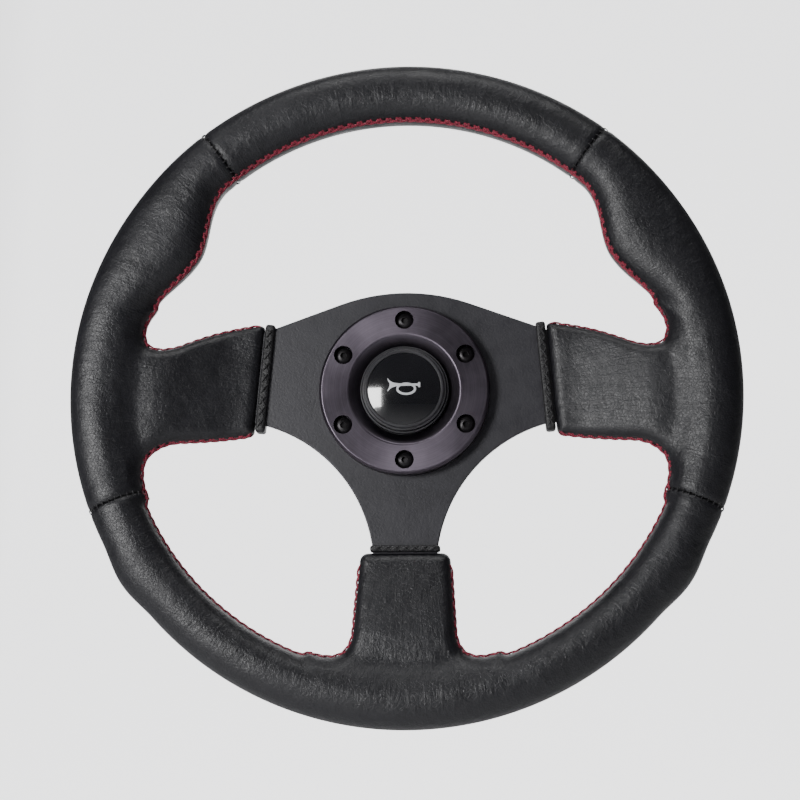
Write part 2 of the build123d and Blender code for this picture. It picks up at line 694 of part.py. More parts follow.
column_hub = turned(
    (SPIGOT_BORE_R, 0),
    (COLUMN_FLANGE_R - HUB_CHAMFER, 0),
    (COLUMN_FLANGE_R, -HUB_CHAMFER),
    (COLUMN_FLANGE_R, COLUMN_FLANGE_FRONT_Y + HUB_CHAMFER),
    (COLUMN_FLANGE_R - HUB_CHAMFER, COLUMN_FLANGE_FRONT_Y),
    (SPIGOT_R, COLUMN_FLANGE_FRONT_Y),
    (SPIGOT_R, SPIGOT_END_Y + SPIGOT_CHAMFER),
    (SPIGOT_R - SPIGOT_CHAMFER, SPIGOT_END_Y),
    (SPIGOT_BORE_R, SPIGOT_END_Y),
)
groove_r = BALL_OUT_R - BALL_TRAVEL
groove = Pos(groove_r, BALL_Y) * Circle(BALL_R + CLEARANCE)
column_hub -= revolve(groove, Axis.Y)
for angle in spaced(BALL_COUNT):
    spot = at_angle(COLUMN_PCD / 2, angle)
    column_hub -= rod(OVERCUT, COLUMN_FLANGE_FRONT_Y - OVERCUT, COLUMN_HOLE_R, spot)
    depth = COUNTERSINK_R - COLUMN_HOLE_R
    sink = Pos(spot[0], COLUMN_FLANGE_FRONT_Y + depth / 2, spot[1]) * Rot(90, 0, 0)
    column_hub -= sink * Cone(COLUMN_HOLE_R, COUNTERSINK_R, depth)

# The 12 o'clock spline is left out, so the wheel goes on one way up only.
spline_angles = spaced(SPLINE_POSITIONS)[1:]
half_groove = SPLINE_WIDTH / 2 + CLEARANCE / 2
half_tooth = SPLINE_WIDTH / 2
teeth = []
for angle in spline_angles:
    long_y = (SPLINE_START_Y, SPIGOT_END_Y - OVERCUT)
    slot = block((-half_groove, half_groove), long_y, (SPLINE_ROOT_R, SPIGOT_R + OVERCUT))
    column_hub -= turn_to(angle) * slot
    tooth_y = (SPLINE_START_Y - SPIGOT_CHAMFER, SPIGOT_END_Y + SPIGOT_CHAMFER)
    tooth_r = (SPLINE_ROOT_R + CLEARANCE, SOCKET_BORE_R + OVERCUT)
    tooth = block((-half_tooth, half_tooth), tooth_y, tooth_r)
    teeth.append(turn_to(angle) * tooth)

insulator_outer = PIN_CIRCLE_R + INSULATOR_HALF_WIDTH
insulator_inner = PIN_CIRCLE_R - INSULATOR_HALF_WIDTH
track_outer = PIN_CIRCLE_R + RING_HALF_WIDTH
track_inner = PIN_CIRCLE_R - RING_HALF_WIDTH
insulator_y = SPIGOT_END_Y + INSULATOR_DEPTH
track_y = SPIGOT_END_Y + RING_DEPTH
insulator = ring(SPIGOT_END_Y, insulator_y, insulator_outer, insulator_inner)
contact_track = ring(SPIGOT_END_Y, track_y, track_outer, track_inner)
save("column_hub", column_hub - insulator)
save("contact_insulator", insulator - contact_track)
save("contact_ring", contact_track)

adapter = turned(
    (SOCKET_BORE_R, SOCKET_END_Y),
    (SOCKET_R, SOCKET_END_Y),
    (SOCKET_R, ADAPTER_REAR_Y),
    (ADAPTER_FLANGE_R - HUB_CHAMFER, ADAPTER_REAR_Y),
    (ADAPTER_FLANGE_R, ADAPTER_REAR_Y - HUB_CHAMFER),
    (ADAPTER_FLANGE_R, PLATE_REAR_Y),
    (ADAPTER_RECESS_R, PLATE_REAR_Y),
    (ADAPTER_RECESS_R, ADAPTER_RECESS_Y),
    (ADAPTER_CENTRE_R, ADAPTER_RECESS_Y),
    (ADAPTER_CENTRE_R, ADAPTER_REAR_Y),
    (SOCKET_BORE_R, ADAPTER_REAR_Y),
)
for tooth in teeth:
    adapter += tooth
adapter -= ring(*SNAP_RING_SPAN, SOCKET_R + OVERCUT, SNAP_GROOVE_R)
for angle in spaced(SCREW_COUNT):
    spot = at_angle(SCREW_PCD / 2, angle)
    adapter -= rod(ADAPTER_REAR_Y + OVERCUT, PLATE_REAR_Y - OVERCUT, SCREW_TAP_R, spot)
for angle in spaced(BALL_COUNT):
    wall_middle_r = (SOCKET_R + SOCKET_BORE_R) / 2
    hole = Pos(0, BALL_Y, wall_middle_r) * Cylinder(BALL_R + CLEARANCE / 2, 2 * BALL_R)
    adapter -= turn_to(angle) * hole
pin_spot = at_angle(PIN_CIRCLE_R, PIN_ANGLE)
adapter -= rod(ADAPTER_REAR_Y + OVERCUT, ADAPTER_RECESS_Y - OVERCUT, BUSH_R, pin_spot)
save("wheel_adapter", adapter)

for number, angle in enumerate(spaced(BALL_COUNT), start=1):
    save(f"lock_ball_{number}", turn_to(angle) * Pos(0, BALL_Y, BALL_OUT_R) * Sphere(BALL_R))

# The collar's ramp falls by the balls' travel over the collar's travel. It runs one ball
# radius and one clearance away from the balls' centres, measured square to the ramp.
slope = BALL_TRAVEL / COLLAR_TRAVEL
steepness = math.hypot(1.0, slope)
ramp_gap = (BALL_R + CLEARANCE) * steepness
mouth_y = COLLAR_REAR_Y - COLLAR_MOUTH
mouth_r = BALL_OUT_R + ramp_gap + (mouth_y - BALL_Y) * slope
ramp_end_y = mouth_y - (mouth_r - COLLAR_BORE_R) / slope
collar = turned(
    (COLLAR_BORE_R, COLLAR_REAR_Y),
    (COLLAR_LIP_R - COLLAR_LIP_CHAMFER, COLLAR_REAR_Y),
    (COLLAR_LIP_R, COLLAR_REAR_Y - COLLAR_LIP_CHAMFER),
    (COLLAR_LIP_R, COLLAR_REAR_Y - COLLAR_LIP_LENGTH),
    (COLLAR_R, COLLAR_REAR_Y - COLLAR_LIP_END),
    (COLLAR_R, COLLAR_FRONT_Y + COLLAR_END_CHAMFER),
    (COLLAR_R - COLLAR_END_CHAMFER, COLLAR_FRONT_Y),
    (COLLAR_POCKET_R, COLLAR_FRONT_Y),
    (COLLAR_POCKET_R, COLLAR_POCKET_Y),
    (COLLAR_BORE_R, COLLAR_POCKET_Y),
    (COLLAR_BORE_R, ramp_end_y),
    (mouth_r, mouth_y),
    (COLLAR_BORE_R, mouth_y),
)
for angle in spaced(COLLAR_FLUTES):
    flute_y = (COLLAR_REAR_Y - FLUTE_START, COLLAR_FRONT_Y - OVERCUT)
    collar -= rod(*flute_y, FLUTE_R, at_angle(COLLAR_R + FLUTE_R / 2, angle))
save("release_collar", collar)
save("collar_spring", coil(
    COLLAR_SPRING_R, COLLAR_SPRING_WIRE_R, COLLAR_SPRING_TURNS, COLLAR_POCKET_Y, ADAPTER_REAR_Y))

snap_start = SNAP_RING_SPAN[0] + SNAP_RING_PLAY
snap_end = SNAP_RING_SPAN[1] - SNAP_RING_PLAY
snap_ring = ring(snap_start, snap_end, SNAP_RING_R, SNAP_GROOVE_R + CLEARANCE)
snap_gap = (-SNAP_RING_HALF_GAP, SNAP_RING_HALF_GAP)
snap_ring -= block(snap_gap, SNAP_RING_SPAN, (0, 2 * SNAP_RING_R))
save("collar_snap_ring", snap_ring)

bush = rod(BUSH_REAR_Y, BUSH_FRONT_Y, BUSH_R, pin_spot)
bush -= rod(BUSH_SHOULDER_Y, BUSH_CAVITY_Y, BUSH_BORE_R, pin_spot)
bush -= rod(BUSH_REAR_Y + OVERCUT, BUSH_SHOULDER_Y - OVERCUT, PIN_R + CLEARANCE, pin_spot)
save("contact_bush", bush)
pin = rod(PIN_TIP_Y, PIN_HEAD_Y[0], PIN_R, pin_spot) + rod(*PIN_HEAD_Y, PIN_HEAD_R, pin_spot)
save("contact_pin", pin)
save("contact_spring", coil(
    PIN_SPRING_R, PIN_SPRING_WIRE_R, PIN_SPRING_TURNS, BUSH_CAVITY_Y, PIN_HEAD_Y[1], pin_spot))
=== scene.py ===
import math

import bmesh
import bpy
import numpy as np
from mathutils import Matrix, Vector
from mathutils.kdtree import KDTree


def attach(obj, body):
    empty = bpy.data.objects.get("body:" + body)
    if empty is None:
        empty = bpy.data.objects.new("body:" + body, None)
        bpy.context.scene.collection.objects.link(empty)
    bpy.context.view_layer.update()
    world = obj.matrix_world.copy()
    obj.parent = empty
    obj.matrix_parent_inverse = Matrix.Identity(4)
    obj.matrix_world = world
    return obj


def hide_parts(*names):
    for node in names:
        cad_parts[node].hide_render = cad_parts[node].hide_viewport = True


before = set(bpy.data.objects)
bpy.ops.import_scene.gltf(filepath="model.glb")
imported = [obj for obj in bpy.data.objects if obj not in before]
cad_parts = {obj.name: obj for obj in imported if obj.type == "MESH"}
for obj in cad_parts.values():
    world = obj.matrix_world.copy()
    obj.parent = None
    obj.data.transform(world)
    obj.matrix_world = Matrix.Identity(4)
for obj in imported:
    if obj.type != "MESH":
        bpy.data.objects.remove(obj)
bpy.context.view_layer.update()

# Shapes are worked out in millimetres and scaled to metres when a mesh is made.
MM = 0.001
rng = np.random.default_rng(7)

RIM_Y = -64.0
RIM_OUTER_R = 175.0
RIM_INNER_R = 144.0
RIM_HALF_DEPTH = 15.0
RIM_SQUARENESS = 2.25
LOWER_EXTRA_R = 3.0
LOWER_FROM, LOWER_TO = 75.0, 111.0
GRIP_ANGLE, GRIP_HEIGHT = 57.5, 15.0
GRIP_ABOVE, GRIP_BELOW = 17.0, 21.0
HEEL_ANGLE, HEEL_HEIGHT, HEEL_SPAN = 125.0, 2.2, 8.0
SEAM_ANGLES = (38.0, 111.7)

SLEEVE_FRONT = [(60.0, -56.8), (90.0, -59.0), (128.0, -71.0), (165.0, -73.5)]
SLEEVE_REAR = [(60.0, -47.2), (90.0, -45.3), (128.0, -53.5), (165.0, -54.5)]
HUB_TOP = np.array([74.4, 37.0])
HUB_BOTTOM = np.array([79.6, -22.6])
TOP_BEND = np.array([119.0, 23.8])
LOW_BEND = np.array([113.0, -26.6])
LOWER_SLEEVE_Z = -84.9
LOWER_NOSE = 23.9
LOWER_NOSE_R = 4.5
LOWER_WIDE = 26.0
LOWER_BEND_Z = -122.0
SLEEVE_BURIED_R = 154.0
TOP_FLARE = 20.0
LOW_FLARE = 25.0
LOWER_FLARE = 19.0
BLEND = 9.0
TOP_BOW = 2.0
LOW_BOW = 0.5

LEATHER = 1.2
FOAM_INSET = 1.35
GROOVE_ROOM = 0.8


# ------------------------------------------------------------------ the padded shape, as a field


def ease(share):
    """0 to 1, smoothly."""
    return 0.5 - 0.5 * np.cos(np.pi * np.clip(share, 0.0, 1.0))


def swell(distance, span):
    """1 at distance 0, falling smoothly to 0 at span."""
    return 1.0 - ease(np.abs(distance) / span)


def bell(distance, width):
    """1 at distance 0, falling off on both sides over about that width."""
    return np.exp(-((distance / width) ** 2))


def inner_r(side):
    """Inner radius of the rim at an angle from 12 o'clock, 0 to 180."""
    span = np.where(side < GRIP_ANGLE, GRIP_ABOVE, GRIP_BELOW)
    lower = LOWER_EXTRA_R * ease((side - LOWER_FROM) / (LOWER_TO - LOWER_FROM))
    return RIM_INNER_R + lower - GRIP_HEIGHT * swell(side - GRIP_ANGLE, span)


def outer_r(side):
    """Outer radius of the rim at an angle from 12 o'clock."""
    return RIM_OUTER_R + HEEL_HEIGHT * swell(side - HEEL_ANGLE, HEEL_SPAN)


def smoothed(points):
    """A broken line as a fine table with its corners softened."""
    s = np.linspace(20.0, 200.0, 721)
    knots = np.array(points)
    first = (knots[1] - knots[0]) / (knots[1, 0] - knots[0, 0])
    knots = np.vstack([knots[0] - first * 60.0, knots, [260.0, knots[-1, 1]]])
    y = np.interp(s, knots[:, 0], knots[:, 1])
    reach = np.arange(-48, 49)
    weight = bell(reach, 20.0)
    padded = np.pad(y, 48, mode="edge")
    return s, np.convolve(padded, weight / weight.sum(), mode="valid")


FRONT_S, FRONT_Y = smoothed(SLEEVE_FRONT)
REAR_S, REAR_Y = smoothed(SLEEVE_REAR)


def sleeve_middle(s):
    """Depth of a sleeve's middle, at a distance from the hub."""
    return (np.interp(s, FRONT_S, FRONT_Y) + np.interp(s, REAR_S, REAR_Y)) / 2


def sleeve_half(s):
    """Half the thickness of a sleeve, at a distance from the hub."""
    return (np.interp(s, REAR_S, REAR_Y) - np.interp(s, FRONT_S, FRONT_Y)) / 2


def round_and(a, b, radius):
    """Where two fields meet on the inside, with the edge rounded."""
    corner = np.hypot(np.maximum(a + radius, 0.0), np.maximum(b + radius, 0.0))
    return np.minimum(np.maximum(a, b), -radius) + corner


def round_or(a, b, radius):
    """Two fields joined, with the inside corner filled to a radius."""
    corner = np.hypot(np.maximum(radius - a, 0.0), np.maximum(radius - b, 0.0))
    return np.maximum(np.minimum(a, b), radius) - corner


def half_plane(x, z, start, end):
    """Distance outside the line from start to end; the inside is on the line's right."""
    along = (end - start) / np.linalg.norm(end - start)
    return (x - start[0]) * -along[1] + (z - start[1]) * along[0]


def flared(plan, x, z, radius):
    """A sleeve's plan outline, flared to a radius where it meets the rim and ended inside it."""
    rho = np.hypot(x, z)
    rim = inner_r(np.degrees(np.arctan2(np.abs(x), z))) - rho
    plan = np.maximum(round_or(plan, rim, radius), plan - radius)
    return np.maximum(plan, rho - SLEEVE_BURIED_R)


def slab(plan, y, s, inset):
    """A stuffed sleeve from its plan outline and its side view."""
    half = sleeve_half(s)
    across = np.abs(y - sleeve_middle(s)) - half
    # Slightly crowned, so the broad faces aren't flat.
    crown = 0.9 * (1.0 - np.clip(-plan / 18.0, 0.0, 1.0)) ** 2
    return round_and(plan, across + crown, 0.78 * half) + inset


def rim_field(x, y, z, inset):
    """The rim alone: an oval section swept round the wheel."""
    rho = np.hypot(x, z)
    side = np.degrees(np.arctan2(np.abs(x), z))
    inner, outer = inner_r(side), outer_r(side)
    half = (outer - inner) / 2
    u = np.abs(rho - (inner + outer) / 2) / half
    v = np.abs(y - RIM_Y) / RIM_HALF_DEPTH
    n = RIM_SQUARENESS
    size = np.maximum((u**n + v**n) ** (1.0 / n), 1e-3)
    slope_u = (u / size) ** (n - 1) / half
    slope_v = (v / size) ** (n - 1) / RIM_HALF_DEPTH
    return (size - 1.0) / np.maximum(np.hypot(slope_u, slope_v), 1e-4) + inset


def side_field(x, y, z, inset):
    """The left and right sleeves."""
    s = np.abs(x)
    end = half_plane(s, z, HUB_BOTTOM, HUB_TOP)
    top = half_plane(s, z, HUB_TOP, TOP_BEND)
    low = half_plane(s, z, LOW_BEND, HUB_BOTTOM)
    # The edges bow out a little between the hub end and the rim.
    bow = np.sin(np.pi * np.clip((s - HUB_TOP[0]) / (TOP_BEND[0] - HUB_TOP[0]), 0.0, 1.0))
    plan = round_and(round_and(top - TOP_BOW * bow, low - LOW_BOW * bow, 2.0), end, 2.2)
    return slab(flared(plan, x, z, np.where(z > 0.0, TOP_FLARE, LOW_FLARE)), y, s, inset)


def lower_field(x, y, z, inset):
    """The lower sleeve."""
    s = -z
    reach = np.abs(LOWER_BEND_Z - LOWER_SLEEVE_Z) - 6.0
    share = np.clip((s + LOWER_SLEEVE_Z - 6.0) / reach, -0.2, 2.0)
    side = np.abs(x) - (LOWER_NOSE + (LOWER_WIDE - LOWER_NOSE) * share)
    plan = round_and(side, z - LOWER_SLEEVE_Z, LOWER_NOSE_R)
    return slab(flared(plan, x, z, LOWER_FLARE), y, s, inset)


def padded_field(points, inset=0.0):
    """Signed distance, in mm, to the padded rim with its three sleeves."""
    x, y, z = points.T
    shape = round_or(rim_field(x, y, z, inset), side_field(x, y, z, inset), BLEND)
    return round_or(shape, lower_field(x, y, z, inset), BLEND)


def slope_of(points, field):
    """Unit outward normals of a field."""
    gap = 0.05
    slope = np.empty_like(points)
    for axis in range(3):
        shift = np.zeros(3)
        shift[axis] = gap
        slope[:, axis] = field(points + shift) - field(points - shift)
    slope /= 2 * gap
    size = np.linalg.norm(slope, axis=1, keepdims=True)
    return slope / np.maximum(size, 1e-6), size[:, 0]


def pulled_to(points, field, rounds):
    """Points moved along the slope until they lie on the surface."""
    for _ in range(rounds):
        normal, size = slope_of(points, field)
        step = np.clip(field(points) / np.maximum(size, 0.3), -1.5, 1.5)
        points = points - normal * step[:, None]
    return points


def surface_net(field, low, high, step, relax=3):
    """A quad mesh of where a field is zero, relaxed so that its quads are even."""
    axes = [np.arange(a, b + step, step) for a, b in zip(low, high)]
    shape = [len(a) for a in axes]
    inside = np.empty(shape, bool)
    plane = np.stack(np.meshgrid(axes[1], axes[2], indexing="ij"), -1).reshape(-1, 2)
    for i, x in enumerate(axes[0]):
        points = np.column_stack([np.full(len(plane), x), plane])
        inside[i] = (field(points) < 0.0).reshape(shape[1:])
    corners = sum(
        inside[a : shape[0] - 1 + a, b : shape[1] - 1 + b, c : shape[2] - 1 + c].astype(int)
        for a in (0, 1)
        for b in (0, 1)
        for c in (0, 1)
    )
    mixed = (corners > 0) & (corners < 8)
    number = np.full(mixed.shape, -1)
    number[mixed] = np.arange(mixed.sum())
    cells = np.argwhere(mixed)
    points = np.array(low) + (cells + 0.5) * step
    faces = []
    for axis in range(3):
        b, c = [k for k in range(3) if k != axis]
        here = np.moveaxis(inside, (axis, b, c), (0, 1, 2))
        cell = np.moveaxis(number, (axis, b, c), (0, 1, 2))
        start, end = here[:-1, 1:-1, 1:-1], here[1:, 1:-1, 1:-1]
        quad = np.stack([cell[:, :-1, :-1], cell[:, 1:, :-1], cell[:, 1:, 1:], cell[:, :-1, 1:]], -1)
        leaving = quad[start & ~end]
        entering = quad[~start & end]
        if axis == 1:
            leaving, entering = entering, leaving
        faces += [leaving, entering[:, ::-1]]
    faces = np.concatenate(faces)
    points = pulled_to(points, field, 3)
    a = faces.reshape(-1)
    b = np.roll(faces, -1, axis=1).reshape(-1)
    count = np.bincount(np.concatenate([a, b]), minlength=len(points))
    for _ in range(relax):
        total = np.stack(
            [
                np.bincount(a, points[b, k], len(points)) + np.bincount(b, points[a, k], len(points))
                for k in range(3)
            ],
            -1,
        )
        middle = total / np.maximum(count, 1)[:, None]
        points = pulled_to(points + 0.6 * (middle - points), field, 1)
    return pulled_to(points, field, 3), faces


# ------------------------------------------------------------------ meshes


def mesh_piece(name, points, faces, smooth=True):
    """A mesh object from points in mm."""
    mesh = bpy.data.meshes.new(name)
    mesh.from_pydata((np.asarray(points) * MM).tolist(), [], [list(map(int, f)) for f in faces])
    mesh.update()
    if smooth:
        mesh.polygons.foreach_set("use_smooth", [True] * len(mesh.polygons))
    piece = bpy.data.objects.new(name, mesh)
    bpy.context.scene.collection.objects.link(piece)
    return piece


def store(piece, name, values, kind="FLOAT"):
    """Saves one value per vertex for a material to read."""
    attribute = piece.data.attributes.new(name, kind, "POINT")
    key = "value" if kind == "FLOAT" else "vector"
    attribute.data.foreach_set(key, np.asarray(values, np.float32).reshape(-1))


def side_angle(points):
    """Clockwise angle from 12 o'clock, -180 to 180."""
    return np.degrees(np.arctan2(points[:, 0], points[:, 2]))


def cut_at_seams(points, faces):
    """Cuts the mesh exactly along the four cross seams."""
    mesh = bmesh.new()
    for p in points:
        mesh.verts.new(p)
    mesh.verts.ensure_lookup_table()
    for f in faces:
        mesh.faces.new([mesh.verts[i] for i in f])
    for angle in [a * side for a in SEAM_ANGLES for side in (1, -1)]:
        turn = math.radians(angle)
        out = Vector((math.sin(turn), 0, math.cos(turn)))
        across = Vector((math.cos(turn), 0, -math.sin(turn)))
        near = [
            f
            for f in mesh.faces
            if abs(f.calc_center_median().dot(across)) < 4.0
            and f.calc_center_median().dot(out) > 0.0
        ]
        edges = {e for f in near for e in f.edges}
        verts = {v for f in near for v in f.verts}
        bmesh.ops.bisect_plane(
            mesh, geom=list(verts) + list(edges) + near, dist=0.12, plane_co=(0, 0, 0), plane_no=across
        )
    mesh.verts.index_update()
    new_points = np.array([v.co for v in mesh.verts])
    new_faces = [[v.index for v in f.verts] for f in mesh.faces]
    mesh.free()
    return new_points, new_faces


def seam_distance(points):
    """Distance along the rim to the nearest cross seam, in mm."""
    rho = np.hypot(points[:, 0], points[:, 2])
    side = np.abs(side_angle(points))
    gaps = [np.abs(side - angle) for angle in SEAM_ANGLES]
    return np.radians(np.minimum(*gaps)) * rho


# ------------------------------------------------------------------ paths of the lacing


def middle_depth(x, z):
    """Depth of the padding's middle near a point of its inner edge."""
    rho = np.hypot(x, z)
    to_rim = ease((rho - 122.0) / 18.0)
    on_side = (np.abs(x) > 60.0) & (z > -60.0)
    on_lower = (np.abs(x) < 45.0) & (z < -75.0)
    s = np.where(on_side, np.abs(x), -z)
    share = np.where(on_side | on_lower, to_rim, 1.0)
    share = np.where(z > 36.0, np.maximum(share, ease((z - 36.0) / 20.0)), share)
    return RIM_Y * share + sleeve_middle(s) * (1.0 - share)


# How far the lacing lies on the driver's side of the padding's middle, low down and high up.
LOW_BAND_SHIFT = 1.0
TOP_BAND_SHIFT = 4.7
SHIFT_FROM_Z = 36.0
SHIFT_RISE = 30.0
PATH_ROUNDS = 150
PATH_STEP = 0.4


def window_path(centre, start, end, count=1400):
    """The line that the lacing follows round one window, from one hub end to the other."""
    first = math.atan2(start[0] - centre[0], start[1] - centre[1])
    last = math.atan2(end[0] - centre[0], end[1] - centre[1])
    if last < first:
        last += 2 * math.pi
    turn = np.linspace(first, last, count)
    way = np.column_stack([np.sin(turn), np.cos(turn)])
    reach = np.full(count, 15.0)
    for _ in range(PATH_ROUNDS):
        flat = centre + way * reach[:, None]
        high = ease((flat[:, 1] - SHIFT_FROM_Z) / SHIFT_RISE)
        shift = LOW_BAND_SHIFT + (TOP_BAND_SHIFT - LOW_BAND_SHIFT) * high
        depth = middle_depth(flat[:, 0], flat[:, 1]) - shift
        points = np.column_stack([flat[:, 0], depth, flat[:, 1]])
        reach += PATH_STEP * padded_field(points)
    return points


def evenly(points, spacing):
    """A line of points resampled at an even spacing."""
    length = np.concatenate([[0], np.cumsum(np.linalg.norm(np.diff(points, axis=0), axis=1))])
    count = max(int(round(length[-1] / spacing)), 2)
    at = np.linspace(0.0, length[-1], count + 1)
    return np.column_stack([np.interp(at, length, points[:, k]) for k in range(3)])


def along_and_across(line, field):
    """Unit vectors along a line on the surface, out of the surface, and across the line."""
    along = np.gradient(line, axis=0)
    along /= np.linalg.norm(along, axis=1, keepdims=True)
    out, _ = slope_of(line, field)
    across = np.cross(along, out)
    across /= np.linalg.norm(across, axis=1, keepdims=True)
    return along, out, across


def strand_mesh(strands, radius, sides=6):
    """Round threads through lists of points: mesh data and the threads' own coordinates."""
    points, faces, where = [], [], []
    ring = np.arange(sides) * 2 * math.pi / sides
    for line in strands:
        along = np.gradient(line, axis=0)
        along /= np.linalg.norm(along, axis=1, keepdims=True)
        up = np.cross(along, [0.0, 1.0, 0.0])
        up /= np.linalg.norm(up, axis=1, keepdims=True)
        side = np.cross(along, up)
        base = len(points) * sides
        length = np.concatenate([[0], np.cumsum(np.linalg.norm(np.diff(line, axis=0), axis=1))])
        for i, centre in enumerate(line):
            offset = np.outer(np.cos(ring), up[i]) + np.outer(np.sin(ring), side[i])
            points.append(centre + radius * offset)
            where.append(np.column_stack([np.full(sides, length[i]), np.cos(ring), np.sin(ring)]))
        for i in range(len(line) - 1):
            for k in range(sides):
                a, b = base + i * sides + k, base + i * sides + (k + 1) % sides
                faces.append([a, b, b + sides, a + sides])
        last = base + (len(line) - 1) * sides
        faces.append([base + k for k in reversed(range(sides))])
        faces.append([last + k for k in range(sides)])
    return np.concatenate(points), faces, np.concatenate(where)


def thread_piece(name, strands, radius, material, sides=6):
    """One object with all the threads of one run of stitching."""
    points, faces, where = strand_mesh(strands, radius, sides)
    piece = mesh_piece(name, points, faces)
    store(piece, "thread", where, "FLOAT_VECTOR")
    piece.data.materials.append(material)
    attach(piece, "wheel")
    return piece


# How far a thread's middle stands off the leather, as a share of its radius.
THREAD_STAND = 0.55


def laid_thread(start, end, field, radius, lift, samples=9, dive=1.3):
    """One stitch from hole to hole: it comes out, lies over the leather and goes back in."""
    share = np.linspace(0.0, 1.0, samples)
    line = pulled_to(start + (end - start) * share[:, None], field, 2)
    out, _ = slope_of(line, field)
    rise = np.sin(np.pi * share) ** 0.5
    height = -dive + (dive + radius * THREAD_STAND) * rise + lift * np.sin(np.pi * share) ** 2
    return line + out * height[:, None]


# ------------------------------------------------------------------ materials


def add(material, kind, settings=None, **inputs):
    """A node in a material: settings are its own options, inputs are sockets or values."""
    made = material.node_tree.nodes.new(kind)
    for name, value in (settings or {}).items():
        setattr(made, name, value)
    for name, value in inputs.items():
        socket = made.inputs[int(name[1:]) if name[1:].isdigit() else name.replace("_", " ")]
        if isinstance(value, bpy.types.NodeSocket):
            material.node_tree.links.new(value, socket)
        else:
            socket.default_value = value
    return made


def calc(material, operation, a, b=0.0):
    """A number worked out from two others."""
    return add(material, "ShaderNodeMath", {"operation": operation}, i0=a, i1=b).outputs[0]


def blended(material, first, second, share):
    """That share of one value and the rest of another."""
    return calc(
        material, "ADD",
        calc(material, "MULTIPLY", first, share), calc(material, "MULTIPLY", second, 1.0 - share),
    )


def noise(material, where, scale, detail=3.0, roughness=0.55):
    """Soft noise, 0 to 1, with scale in features per metre."""
    made = add(
        material, "ShaderNodeTexNoise", None,
        Vector=where, Scale=scale, Detail=detail, Roughness=roughness,
    )
    return made.outputs["Fac"]


def cells(material, where, scale, feature="F1"):
    """Distance inside a cell pattern, with scale in cells per metre."""
    made = add(material, "ShaderNodeTexVoronoi", {"feature": feature}, Vector=where, Scale=scale)
    return made.outputs["Distance"]


def between(material, value, low, high, start=0.0, end=1.0):
    """A value from start..end remapped to low..high and held there."""
    made = add(
        material, "ShaderNodeMapRange", None, Value=value,
        From_Min=start, From_Max=end, To_Min=low, To_Max=high,
    )
    return made.outputs["Result"]


def tint(material, share, first, second):
    """A colour between two, by share."""
    made = add(
        material, "ShaderNodeMix", {"data_type": "RGBA"},
        i0=share, i6=(*first, 1.0), i7=(*second, 1.0),
    )
    return made.outputs[2]


def raised(material, height, distance, below=None, strength=1.0):
    """A bump of that many metres, on top of another bump."""
    made = add(material, "ShaderNodeBump", None, Height=height, Distance=distance, Strength=strength)
    if below is not None:
        material.node_tree.links.new(below, made.inputs["Normal"])
    return made.outputs["Normal"]


def object_place(material):
    """Where a point is in the row frame, in metres."""
    return add(material, "ShaderNodeTexCoord").outputs["Object"]


def stretched(material, where, scale):
    """Coordinates stretched along the axes."""
    return add(material, "ShaderNodeMapping", None, Vector=where, Scale=scale).outputs[0]


def own_value(material, name, output="Fac"):
    """A value saved on the mesh."""
    return add(material, "ShaderNodeAttribute", {"attribute_name": name}).outputs[output]


def finish_shader(material, colour=None, roughness=None, normal=None, **constants):
    """Joins up the material's shader."""
    shader = material.node_tree.nodes["Principled BSDF"]
    for name, value in (("Base Color", colour), ("Roughness", roughness), ("Normal", normal)):
        if value is not None:
            material.node_tree.links.new(value, shader.inputs[name])
    for name, value in constants.items():
        shader.inputs[name.replace("_", " ")].default_value = value
    return material


def new_material(name):
    material = bpy.data.materials.new(name)
    material.use_nodes = True
    return material


def round_the_wheel(material, along, across):
    """Coordinates that run fast round the rim and slowly across it, with no join."""
    place = add(material, "ShaderNodeSeparateXYZ", None, Vector=object_place(material))
    x, y, z = place.outputs
    flat = add(material, "ShaderNodeCombineXYZ", None, X=x, Z=z).outputs[0]
    spoke = add(material, "ShaderNodeVectorMath", {"operation": "NORMALIZE"}, i0=flat).outputs[0]
    reach = add(material, "ShaderNodeVectorMath", {"operation": "LENGTH"}, i0=flat).outputs["Value"]
    turned = add(material, "ShaderNodeSeparateXYZ", None, Vector=spoke)
    return add(
        material, "ShaderNodeCombineXYZ", None,
        X=calc(material, "MULTIPLY", turned.outputs[0], 0.16 * along),
        Y=calc(material, "MULTIPLY", calc(material, "ADD", y, reach), across),
        Z=calc(material, "MULTIPLY", turned.outputs[2], 0.16 * along),
    ).outputs[0]


